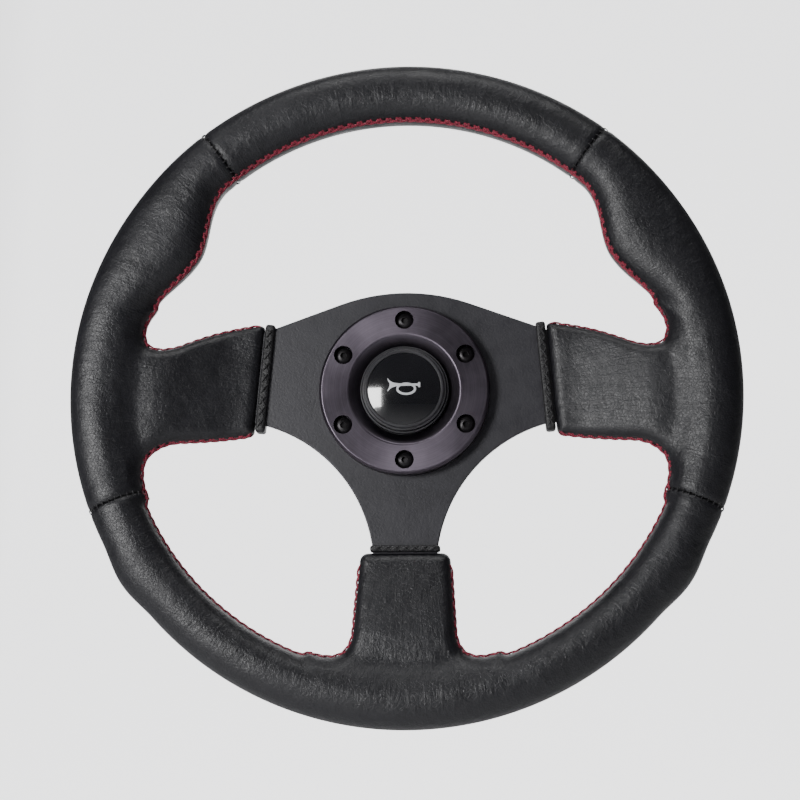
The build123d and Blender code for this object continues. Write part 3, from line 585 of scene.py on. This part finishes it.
def leather_material(name, dark, pale, rough_low, rough_high):
    """Close-grained black leather, with pebbles, creases, stretch lines and handling marks, and painted
    shade in its grain creases, seam cuts and lacing grooves.
    """
    material = new_material(name)
    where = object_place(material)
    warp = add(material, "ShaderNodeTexNoise", None, Vector=where, Scale=260.0, Detail=2.0)
    warped = add(
        material, "ShaderNodeMix", {"data_type": "VECTOR"}, i0=0.0022, i4=where, i5=warp.outputs["Color"]
    ).outputs[1]
    pebble = cells(material, warped, 900.0, "SMOOTH_F1")
    edge = cells(material, warped, 600.0, "DISTANCE_TO_EDGE")
    crack = between(material, edge, 0.0, 1.0, 0.0, 0.12)
    pore = between(material, noise(material, where, 2600.0, 2.0), 0.0, 1.0, 0.36, 0.62)
    pull = noise(material, round_the_wheel(material, 420.0, 70.0), 1.0, 4.0, 0.6)
    fold = between(material, pull, 0.0, 1.0, 0.5, 0.72)
    soft = noise(material, where, 70.0, 3.0)
    patch = noise(material, where, 26.0, 4.0, 0.6)
    # The seam value is painted shade for the seam cuts and lacing grooves.
    seam = own_value(material, "seam")
    normal = raised(material, soft, 0.0011)
    normal = raised(material, fold, 0.0001, normal, 0.9)
    normal = raised(material, crack, 0.00006, normal, 0.8)
    normal = raised(material, pebble, 0.00008, normal, 0.8)
    normal = raised(material, pore, 0.00003, normal, 0.5)
    tone = blended(material, patch, pore, 0.6)
    colour = tint(material, between(material, tone, 0.0, 1.0, 0.3, 0.75), dark, pale)
    # Painted shade: the colour is darkened along the grain's crease lines, and by the saved seam value in
    # the seam cuts and lacing grooves.
    painted_crease_and_groove_shade = calc(
        material, "MULTIPLY", between(material, crack, 0.72, 1.0), between(material, seam, 1.0, 0.25)
    )
    shaded = add(
        material, "ShaderNodeMix", {"data_type": "RGBA", "blend_type": "MULTIPLY"},
        i0=1.0, i6=colour, i7=painted_crease_and_groove_shade,
    ).outputs[2]
    worn = blended(material, patch, pore, 0.7)
    roughness = between(material, worn, rough_low, rough_high, 0.3, 0.7)
    return finish_shader(material, shaded, roughness, normal, Specular_IOR_Level=0.5)


# Millimetres of thread to one turn of its twist.
THREAD_TWIST = 1.15


def thread_material(name, dark, pale, sheen):
    """Twisted sewing thread: two plies winding along each strand, with loose fibres, and painted shade in
    the grooves between the plies.
    """
    material = new_material(name)
    saved = own_value(material, "thread", "Vector")
    length, cosine, sine = add(material, "ShaderNodeSeparateXYZ", None, Vector=saved).outputs
    turn = calc(material, "MULTIPLY", length, 2 * math.pi / THREAD_TWIST)
    twist = calc(
        material, "ADD",
        calc(material, "MULTIPLY", calc(material, "SINE", turn), cosine),
        calc(material, "MULTIPLY", calc(material, "COSINE", turn), sine),
    )
    fine = stretched(material, object_place(material), (6000.0, 6000.0, 6000.0))
    fibre = noise(material, fine, 1.0, 2.0)
    patch = noise(material, object_place(material), 350.0, 2.0)
    ply = between(material, twist, 0.0, 1.0, -1.0, 0.7)
    # Painted shade: the colour darkens into the grooves between the plies, with random patches of tone on
    # top.
    shade = calc(material, "MULTIPLY", ply, between(material, patch, 0.55, 1.0, 0.3, 0.7))
    normal = raised(material, fibre, 0.00004, raised(material, ply, 0.00016))
    return finish_shader(
        material, tint(material, shade, dark, pale), between(material, fibre, 0.5, 0.8), normal,
        Sheen_Weight=sheen, Sheen_Roughness=0.4,
    )


def painted_material(name, dark, pale, rough_low, rough_high, grain=1600.0, depth=0.00005):
    """Satin powder coat: a fine orange-peel, dust and slight patchiness."""
    material = new_material(name)
    where = object_place(material)
    peel = noise(material, where, grain, 2.0)
    broad = noise(material, where, 90.0, 3.0)
    speck = between(material, noise(material, where, 4200.0, 1.0), 0.0, 1.0, 0.58, 0.75)
    tone = blended(material, broad, speck, 0.7)
    normal = raised(material, peel, depth, raised(material, broad, 0.00012))
    roughness = between(material, calc(material, "ADD", peel, broad), rough_low, rough_high, 0.75, 1.25)
    return finish_shader(material, tint(material, tone, dark, pale), roughness, normal)


def turned_metal(name, dark, pale, rough_low, rough_high, lines=2400.0, grain=0.5, metallic=1.0):
    """Metal turned on a lathe about the steering axis, with fine rings and smudges."""
    material = new_material(name)
    where = object_place(material)
    place = add(material, "ShaderNodeSeparateXYZ", None, Vector=where)
    x, y, z = place.outputs
    flat = add(material, "ShaderNodeCombineXYZ", None, X=x, Z=z).outputs[0]
    reach = add(material, "ShaderNodeVectorMath", {"operation": "LENGTH"}, i0=flat).outputs["Value"]
    rings = add(
        material, "ShaderNodeCombineXYZ", None,
        X=calc(material, "MULTIPLY", reach, lines), Y=calc(material, "MULTIPLY", y, lines),
    ).outputs[0]
    line = noise(material, rings, 1.0, 3.0, 0.7)
    smudge = noise(material, where, 55.0, 4.0, 0.6)
    speck = noise(material, where, 3000.0, 1.0)
    tone = blended(material, line, smudge, 0.55)
    colour = tint(material, between(material, tone, 0.0, 1.0, 0.32, 0.68), dark, pale)
    normal = raised(material, speck, 0.00002, raised(material, line, 0.00003, None, grain), 0.5)
    roughness = between(material, tone, rough_low, rough_high, 0.35, 0.65)
    round_axis = add(material, "ShaderNodeTangent", {"direction_type": "RADIAL", "axis": "Y"}).outputs[0]
    shader = material.node_tree.nodes["Principled BSDF"]
    material.node_tree.links.new(round_axis, shader.inputs["Tangent"])
    return finish_shader(material, colour, roughness, normal, Metallic=metallic, Anisotropic=0.55)


def moulded_material(name, dark, pale, rough_low, rough_high, coat=0.0):
    """Moulded plastic or lacquer: faint flow marks, fine scratches and finger marks."""
    material = new_material(name)
    where = object_place(material)
    flow = noise(material, where, 45.0, 3.0)
    scratch = noise(material, stretched(material, where, (400.0, 400.0, 7000.0)), 1.0, 2.0)
    fine = noise(material, where, 2800.0, 2.0)
    normal = raised(material, fine, 0.00001, raised(material, scratch, 0.00001, None, 0.4), 0.5)
    worn = calc(material, "ADD", flow, calc(material, "MULTIPLY", scratch, 0.5))
    roughness = between(material, worn, rough_low, rough_high, 0.55, 0.95)
    return finish_shader(
        material, tint(material, flow, dark, pale), roughness, normal,
        Coat_Weight=coat, Coat_Roughness=0.04,
    )


leather = leather_material("leather", (0.0036, 0.0036, 0.0052), (0.0085, 0.0083, 0.0115), 0.36, 0.52)
band_leather = leather_material("leather_trim", (0.0035, 0.0033, 0.0042), (0.008, 0.0075, 0.009), 0.45, 0.6)
foam = painted_material("foam", (0.03, 0.03, 0.03), (0.05, 0.05, 0.05), 0.8, 0.95, 900.0, 0.0002)
red_thread = thread_material("red_thread", (0.09, 0.004, 0.014), (0.42, 0.016, 0.055), 0.3)
black_thread = thread_material("black_thread", (0.004, 0.004, 0.005), (0.022, 0.021, 0.024), 0.2)
plate_paint = painted_material(
    "plate_paint", (0.015, 0.0145, 0.018), (0.026, 0.025, 0.031), 0.42, 0.54, 950.0, 0.0001
)
gunmetal = turned_metal("trim_gunmetal", (0.07, 0.060, 0.075), (0.13, 0.113, 0.138), 0.36, 0.5, 2400.0, 0.2)
black_screw = turned_metal(
    "black_screw", (0.012, 0.011, 0.012), (0.028, 0.026, 0.028), 0.3, 0.45, 1500.0, 0.3, 0.7
)
housing_black = moulded_material("black_plastic", (0.016, 0.016, 0.018), (0.026, 0.025, 0.029), 0.28, 0.42)
gloss_black = moulded_material("gloss_black", (0.004, 0.004, 0.005), (0.008, 0.008, 0.010), 0.10, 0.2, 1.0)
hoop_steel = painted_material("hoop_steel", (0.16, 0.16, 0.17), (0.24, 0.24, 0.25), 0.4, 0.6)
hub_aluminium = turned_metal("hub_aluminium", (0.50, 0.51, 0.53), (0.72, 0.73, 0.75), 0.22, 0.36)
collar_black = turned_metal("collar_black", (0.012, 0.012, 0.014), (0.030, 0.029, 0.034), 0.28, 0.42)
spring_steel = turned_metal("spring_steel", (0.40, 0.40, 0.41), (0.62, 0.62, 0.63), 0.24, 0.4, 900.0)
ball_steel = turned_metal("ball_steel", (0.56, 0.56, 0.57), (0.70, 0.70, 0.71), 0.08, 0.16, 600.0, 0.1)
brass = turned_metal("contact_brass", (0.50, 0.34, 0.12), (0.72, 0.52, 0.22), 0.22, 0.38)
insulator = moulded_material("insulator", (0.20, 0.13, 0.07), (0.28, 0.19, 0.11), 0.4, 0.55)
symbol_white = moulded_material("symbol_white", (0.45, 0.46, 0.48), (0.58, 0.59, 0.61), 0.3, 0.4, 1.0)

finishes = {
    plate_paint: ["spoke_plate"],
    gunmetal: ["trim_ring"],
    black_screw: ["wheel_screws"],
    housing_black: ["horn_housing", "horn_cap"],
    gloss_black: ["horn_emblem"],
    hoop_steel: ["rim_hoop"],
    hub_aluminium: ["column_hub", "wheel_adapter"],
    collar_black: ["release_collar"],
    spring_steel: ["collar_spring", "horn_spring", "contact_spring", "collar_snap_ring"],
    ball_steel: [f"lock_ball_{number}" for number in range(1, 7)],
    brass: ["contact_pin", "contact_ring", "horn_terminals", "horn_fixed_contact", "horn_moving_contact"],
    insulator: ["contact_insulator", "contact_bush"],
}
for material, names in finishes.items():
    for name in names:
        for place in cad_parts[name].material_slots:
            place.material = material


# ------------------------------------------------------------------ leather, foam and stitching

NET_LOW = (-179.0, -81.5, -179.0)
NET_HIGH = (179.0, -44.0, 179.0)
SKIN_STEP = 1.15
FOAM_STEP = 2.4
skin_points, skin_faces = surface_net(padded_field, NET_LOW, NET_HIGH, SKIN_STEP)
skin_points, skin_faces = cut_at_seams(skin_points, skin_faces)

paths = {
    "upper": window_path(np.array([0.0, 85.0]), -HUB_TOP * [1, -1], HUB_TOP),
    "right": window_path(np.array([80.0, -80.0]), HUB_BOTTOM, np.array([LOWER_NOSE, LOWER_SLEEVE_Z - 5.0])),
}
paths["left"] = paths["right"][::-1] * [-1, 1, 1]

GROOVE_DEPTH = 0.4
SEAM_DEPTH = 0.85
LACED_INSIDE_R = 152.0
FAR = 99.0
seams = seam_distance(skin_points)
out, _ = slope_of(skin_points, padded_field)
# A seam is a narrow cut in a shallow dip, with the leather raised a little beside it.
sink = SEAM_DEPTH * bell(seams, 0.75) + 0.3 * bell(seams, 3.0)
sink -= 0.12 * bell(seams - 3.6, 1.6)
tree = KDTree(sum(len(p) for p in paths.values()))
spot = 0
for line in paths.values():
    for point in line:
        tree.insert(point, spot)
        spot += 1
tree.balance()
near_inner = np.hypot(skin_points[:, 0], skin_points[:, 2]) < LACED_INSIDE_R
to_path = np.full(len(skin_points), FAR)
to_path[near_inner] = [tree.find(p)[2] for p in skin_points[near_inner]]
sink += GROOVE_DEPTH * bell(to_path, 1.0) + 0.2 * bell(to_path, 3.2)
skin_points = skin_points - out * sink[:, None]
# Painted shade: darkness for the leather's colour in the seam cuts and along the lacing grooves, saved on
# the mesh as the seam value.
painted_groove_shade = np.clip(bell(seams, 0.55) + 0.8 * bell(to_path, 0.8), 0.0, 1.0)

centres = np.array([skin_points[f].mean(axis=0) for f in skin_faces])
turn = side_angle(centres)
upper, lower = SEAM_ANGLES
panels = {
    "leather_top": np.abs(turn) <= upper,
    "leather_right": (turn > upper) & (turn <= lower),
    "leather_left": (turn < -upper) & (turn >= -lower),
    "leather_lower": np.abs(turn) > lower,
}
for name, chosen in panels.items():
    faces = [skin_faces[i] for i in np.flatnonzero(chosen)]
    used = sorted({i for f in faces for i in f})
    number = {old: new for new, old in enumerate(used)}
    piece = mesh_piece(name + "_skin", skin_points[used], [[number[i] for i in f] for f in faces])
    # Stores the painted shade of the seam cuts and lacing grooves.
    store(piece, "seam", painted_groove_shade[used])
    piece.data.materials.append(leather)
    shell = piece.modifiers.new("thickness", "SOLIDIFY")
    shell.thickness = LEATHER * MM
    shell.offset = -1.0
    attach(piece, "wheel")
    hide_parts(name)


def foam_field(points):
    """The foam: the padded shape, less the leather and its grooves."""
    return padded_field(points, FOAM_INSET + GROOVE_ROOM)


foam_points, foam_faces = surface_net(foam_field, NET_LOW, NET_HIGH, FOAM_STEP, 1)
core = mesh_piece("foam_core", foam_points, foam_faces)
core.data.materials.append(foam)
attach(core, "wheel")
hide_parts("rim_foam")

LACE_PITCH = 5.2
LACE_HALF_WIDTH = 2.5
LACE_LIFT = 0.42
LACE_JOG = 0.12
THREAD_R = 0.32
THREAD_GAP = 0.36
# Points of the path from one stitch to the next, and to each side of a stitch's middle.
LACE_STEPS = 6
LACE_REACH = 6


def crossed_stitches(path):
    """Crossed double stitches along a path on the leather."""
    length = np.linalg.norm(np.diff(path, axis=0), axis=1).sum()
    spacing = length / round(length / LACE_PITCH) / LACE_STEPS
    line = pulled_to(evenly(path, spacing), padded_field, 3)
    _, out, across = along_and_across(line, padded_field)
    strands = []
    for middle in range(LACE_REACH, len(line) - LACE_REACH, LACE_STEPS):
        a, b = middle - LACE_REACH, middle + LACE_REACH
        for way in (1, -1):
            start = line[a] + way * LACE_HALF_WIDTH * across[a]
            end = line[b] - way * LACE_HALF_WIDTH * across[b]
            side = np.cross(end - start, out[middle])
            side *= THREAD_GAP / np.linalg.norm(side)
            jog = rng.normal(0.0, LACE_JOG, 3)
            lift = LACE_LIFT if way > 0 else 0.0
            for twin in (1, -1):
                shift = twin * side + jog
                strands.append(laid_thread(start + shift, end + shift, padded_field, THREAD_R, lift))
    return strands


for name, path in paths.items():
    thread_piece("lacing_" + name, crossed_stitches(path), THREAD_R, red_thread)


SEAM_STITCH_PITCH = 3.4
SEAM_STITCH_HALF = 1.25
SEAM_THREAD_R = 0.22


def seam_stitches(angle):
    """Small black stitches across one cross seam, on the side where the leather shows."""
    turn = math.radians(angle)
    out_x, out_z = math.sin(turn), math.cos(turn)
    inner, outer = float(inner_r(abs(angle))), float(outer_r(abs(angle)))
    middle = (inner + outer) / 2
    way = np.linspace(math.pi, -math.pi, 241)
    reach = middle + (outer - inner) / 2 * np.cos(way)
    line = np.column_stack([reach * out_x, RIM_Y - RIM_HALF_DEPTH * np.sin(way), reach * out_z])
    line = pulled_to(evenly(line, SEAM_STITCH_PITCH), padded_field, 4)
    sideways = np.array([out_z, 0.0, -out_x])
    strands = []
    for spot in line[1:-1]:
        start = spot + sideways * SEAM_STITCH_HALF
        end = spot - sideways * SEAM_STITCH_HALF
        strands.append(laid_thread(start, end, padded_field, 0.2, 0.0, 7, 0.5))
    return strands


cross = [strand for a in SEAM_ANGLES for side in (1, -1) for strand in seam_stitches(a * side)]
thread_piece("seam_stitches", cross, SEAM_THREAD_R, black_thread, 5)


BAND_WIDTH = 5.6
BAND_HALF_DEPTH = 4.6
BAND_Y = -52.0
BAND_GAP = 0.5
SIDE_BAND_SHARE = 0.972
LOWER_BAND_HALF_WIDTH = 18.2
LOWER_BAND_WIDTH = 4.0


def strip(across, along, depth):
    """A soft-edged strip: how far outside its width, its length and its depth a point is."""
    return round_and(round_and(across, along, 1.4), depth, 1.5)


def side_band_field(points):
    """The strip at the hub end of the right sleeve."""
    x, y, z = points.T
    way = (HUB_BOTTOM - HUB_TOP) / np.linalg.norm(HUB_BOTTOM - HUB_TOP)
    long_half = np.linalg.norm(HUB_BOTTOM - HUB_TOP) * SIDE_BAND_SHARE / 2
    along = (x - HUB_TOP[0]) * way[0] + (z - HUB_TOP[1]) * way[1]
    end = half_plane(x, z, HUB_BOTTOM, HUB_TOP)
    half = (BAND_WIDTH - BAND_GAP) / 2
    return strip(
        np.abs(end - BAND_GAP - half) - half,
        np.abs(along - long_half) - long_half,
        np.abs(y - BAND_Y) - BAND_HALF_DEPTH,
    )


def lower_band_field(points):
    """The strip at the hub end of the lower sleeve."""
    x, y, z = points.T
    half = (LOWER_BAND_WIDTH - BAND_GAP) / 2
    return strip(
        np.abs(z - LOWER_SLEEVE_Z - BAND_GAP - half) - half,
        np.abs(x) - LOWER_BAND_HALF_WIDTH,
        np.abs(y - BAND_Y) - BAND_HALF_DEPTH,
    )


STRIP_THREAD_R = 0.42
STRIP_LIFT = 0.7
STRIP_DIVE = 0.7
# Points of a strip's middle line to each of its stitches.
STRIP_STEPS = 8
# Pitch and half width of the stitches on the side strips and on the lower one.
SIDE_STRIP_LACE = (6.0, 1.75)
LOWER_STRIP_LACE = (5.0, 1.2)


def laced_strip(line, field, pitch, half_width):
    """Crossed black stitches down the middle of a strip."""
    reach = line[-1] - line[0]
    count = int(round(np.linalg.norm(reach) / pitch))
    share = np.linspace(0.0, 1.0, STRIP_STEPS * count + 1)[:, None]
    line = pulled_to(line[0] + reach * share, field, 3)
    _, _, across = along_and_across(line, field)
    strands = []
    half = STRIP_STEPS // 2
    for middle in range(half, len(line), STRIP_STEPS):
        a, b = middle - half, middle + half
        for way in (1, -1):
            start = line[a] + way * half_width * across[a]
            end = line[b] - way * half_width * across[b]
            lift = STRIP_LIFT if way > 0 else 0.0
            strands.append(laid_thread(start, end, field, STRIP_THREAD_R, lift, 9, STRIP_DIVE))
    return strands


STRIP_NET_STEP = 0.8
SIDE_STRIP_LOW, SIDE_STRIP_HIGH = (66.0, -58.5, -24.0), (81.0, -45.5, 39.0)
LOWER_STRIP_LOW, LOWER_STRIP_HIGH = (-20.0, -58.5, -87.0), (20.0, -45.5, -79.0)
side_points, side_faces = surface_net(side_band_field, SIDE_STRIP_LOW, SIDE_STRIP_HIGH, STRIP_NET_STEP)
lower_points, lower_faces = surface_net(
    lower_band_field, LOWER_STRIP_LOW, LOWER_STRIP_HIGH, STRIP_NET_STEP
)
mirror = np.array([-1.0, 1.0, 1.0])
bands = {
    "end_band_right": (side_points, side_faces),
    "end_band_left": (side_points * mirror, side_faces[:, ::-1]),
    "end_band_lower": (lower_points, lower_faces),
}
for name, (points, faces) in bands.items():
    piece = mesh_piece(name + "_strip", points, faces)
    store(piece, "seam", np.zeros(len(points)))
    piece.data.materials.append(band_leather)
    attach(piece, "wheel")
    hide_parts(name)

hub_end = (HUB_BOTTOM - HUB_TOP) / np.linalg.norm(HUB_BOTTOM - HUB_TOP)
band_middle = np.array([hub_end[1], -hub_end[0]]) * (BAND_WIDTH + BAND_GAP) / 2
STRIP_END_GAP = 1.5
side_line = [
    np.array([corner[0] + band_middle[0], y, corner[1] + band_middle[1]])
    for y in (BAND_Y - BAND_HALF_DEPTH, BAND_Y + BAND_HALF_DEPTH)
    for corner in (HUB_TOP + [0.2, -2.0], HUB_BOTTOM + [-0.2, 3.6])
]
lower_z = LOWER_SLEEVE_Z + (LOWER_BAND_WIDTH + BAND_GAP) / 2
lower_line = [
    np.array([x, y, lower_z])
    for y in (BAND_Y - BAND_HALF_DEPTH, BAND_Y + BAND_HALF_DEPTH)
    for x in (-LOWER_BAND_HALF_WIDTH + STRIP_END_GAP, LOWER_BAND_HALF_WIDTH - STRIP_END_GAP)
]
right_lace = laced_strip(side_line[:2], side_band_field, *SIDE_STRIP_LACE)
right_lace += laced_strip(side_line[2:], side_band_field, *SIDE_STRIP_LACE)
lower_lace = laced_strip(lower_line[:2], lower_band_field, *LOWER_STRIP_LACE)
lower_lace += laced_strip(lower_line[2:], lower_band_field, *LOWER_STRIP_LACE)
laces = {"right": right_lace, "left": [line * mirror for line in right_lace], "lower": lower_lace}
for name, strands in laces.items():
    thread_piece("strip_lacing_" + name, strands, STRIP_THREAD_R, black_thread)


# ------------------------------------------------------------------ horn symbol on the lens

LENS_TOP_Y = -66.0
LENS_RADIUS = 65.2
SYMBOL_RISE = 0.04
# The pictogram: a straight tube with its bell on the left and a loop under it.
TUBE_LEFT, TUBE_LENGTH, TUBE_Z = -8.5, 17.0, 1.6
TUBE_HALF, BELL_HALF, MOUTHPIECE_HALF = 0.62, 3.0, 0.75
LOOP_X, LOOP_Z, LOOP_HALF_WIDTH, LOOP_HALF_HEIGHT = 1.2, -0.6, 4.6, 2.7
LOOP_HALF = 0.58


def on_lens(points):
    """Flat (x, z) points laid on the domed lens."""
    reach = np.hypot(points[:, 0], points[:, 1])
    y = LENS_TOP_Y + LENS_RADIUS - np.sqrt(LENS_RADIUS**2 - reach**2) - SYMBOL_RISE
    return np.column_stack([points[:, 0], y, points[:, 1]])


def ribbon(line, halves):
    """A strip of quads along a flat line, with its own half width at each point."""
    line = np.asarray(line, float)
    along = np.gradient(line, axis=0)
    along /= np.linalg.norm(along, axis=1, keepdims=True)
    side = np.column_stack([-along[:, 1], along[:, 0]]) * np.asarray(halves)[:, None]
    points = np.concatenate([line + side, line - side])
    n = len(line)
    return points, [[i, i + 1, n + i + 1, n + i] for i in range(n - 1)]


share = np.linspace(0.0, 1.0, 40)
tube = ribbon(
    np.column_stack([TUBE_LEFT + TUBE_LENGTH * share, np.full_like(share, TUBE_Z)]),
    TUBE_HALF + BELL_HALF * np.exp(-share * 9.0) + MOUTHPIECE_HALF * (share > 0.94),
)
loop_turn = np.linspace(0.0, 2 * math.pi, 73)
loop_x = LOOP_X + LOOP_HALF_WIDTH * np.cos(loop_turn)
loop_z = LOOP_Z + LOOP_HALF_HEIGHT * np.sin(loop_turn)
loop = ribbon(np.column_stack([loop_x, loop_z]), np.full_like(loop_turn, LOOP_HALF))
symbol_points, symbol_faces = [], []
for points, faces in (tube, loop):
    base = sum(len(p) for p in symbol_points)
    symbol_points.append(on_lens(points))
    symbol_faces += [[base + i for i in face] for face in faces]
symbol = mesh_piece("horn_symbol", np.concatenate(symbol_points), symbol_faces)
symbol.data.materials.append(symbol_white)
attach(symbol, "horn_button")


# ------------------------------------------------------------------ studio

FLOOR_Z = -0.5
FLOOR_FRONT_Y = -6.0
FLOOR_BACK_Y = 2.0
SWEEP_BEND = 1.2
WALL_HEIGHT = 5.0
STUDIO_HALF_WIDTH = 8.0
WALL_GLOW = 2.4


def stage_material(name, colour, glow):
    """Matt paint for the studio, with a faint unevenness; the wall behind the wheel is lit up."""
    material = new_material(name)
    where = object_place(material)
    patch = noise(material, where, 3.0, 2.0)
    dark = tuple(c * 0.97 for c in colour)
    place = add(material, "ShaderNodeSeparateXYZ", None, Vector=where)
    sideways = calc(material, "ABSOLUTE", place.outputs[0])
    lit = calc(
        material, "MULTIPLY",
        between(material, place.outputs[2], 0.0, glow, FLOOR_Z + 0.02, FLOOR_Z + 0.15),
        between(material, sideways, 1.0, 0.05, 1.1, 1.9),
    )
    shader = material.node_tree.nodes["Principled BSDF"]
    material.node_tree.links.new(lit, shader.inputs["Emission Strength"])
    return finish_shader(
        material, tint(material, patch, dark, colour), None, None,
        Roughness=0.9, Emission_Color=(*colour, 1.0),
    )


def studio_sweep():
    """A pale floor that curves up into a pale wall."""
    profile = [(FLOOR_FRONT_Y, 0.0), (FLOOR_BACK_Y, 0.0)]
    for a in np.linspace(0.0, math.pi / 2, 16)[1:]:
        profile.append((FLOOR_BACK_Y + SWEEP_BEND * math.sin(a), SWEEP_BEND * (1.0 - math.cos(a))))
    profile.append((FLOOR_BACK_Y + SWEEP_BEND, WALL_HEIGHT))
    sides = (-STUDIO_HALF_WIDTH, STUDIO_HALF_WIDTH)
    points = [(x / MM, y / MM, (FLOOR_Z + z) / MM) for x in sides for y, z in profile]
    n = len(profile)
    sweep = mesh_piece("studio", points, [[i, i + 1, n + i + 1, n + i] for i in range(n - 1)])
    sweep.data.materials.append(stage_material("studio_paint", (0.92, 0.92, 0.93), WALL_GLOW))


def softbox(name, place, target, width, height, power):
    """A rectangular soft light aimed at a point."""
    data = bpy.data.lights.new(name, "AREA")
    data.shape = "RECTANGLE"
    data.size, data.size_y = width, height
    data.energy = power
    lamp = bpy.data.objects.new(name, data)
    lamp.location = place
    lamp.rotation_euler = (Vector(target) - Vector(place)).to_track_quat("-Z", "Y").to_euler()
    bpy.context.scene.collection.objects.link(lamp)


studio_sweep()
centre = (0.0, RIM_Y * MM, 0.0)
softbox("key", (-0.60, -0.94, 0.04), centre, 0.34, 0.34, 11.0)
softbox("fill", (-1.5, -1.2, 0.5), centre, 0.7, 1.4, 2.0)
softbox("low_left", (-1.0, -1.1, -0.42), centre, 0.9, 0.12, 1.2)
softbox("top", (0.0, -0.6, 1.5), centre, 1.2, 0.5, 12.0)

world = bpy.data.worlds.new("studio")
world.use_nodes = True
air = world.node_tree.nodes["Background"]
air.inputs["Color"].default_value = (0.95, 0.96, 1.0, 1.0)
air.inputs["Strength"].default_value = 0.06
bpy.context.scene.world = world

VIEW_DISTANCE = 0.9
VIEW_TURN = math.radians(3.0)
VIEW_BELOW = math.radians(10.3)
AIM_RIGHT = -0.0021
AIM_UP = -0.0061
lens = bpy.data.cameras.new("camera")
lens.lens = 77.8
lens.sensor_width = 36.0
camera = bpy.data.objects.new("camera", lens)
flat = math.cos(VIEW_BELOW)
back = Vector((math.sin(VIEW_TURN) * flat, -math.cos(VIEW_TURN) * flat, -math.sin(VIEW_BELOW)))
right = Vector((0, 0, 1)).cross(back).normalized()
aim = Vector(centre) + AIM_RIGHT * right + AIM_UP * back.cross(right)
camera.location = aim + VIEW_DISTANCE * back
camera.rotation_euler = (aim - camera.location).to_track_quat("-Z", "Y").to_euler()
bpy.context.scene.collection.objects.link(camera)
bpy.context.scene.camera = camera
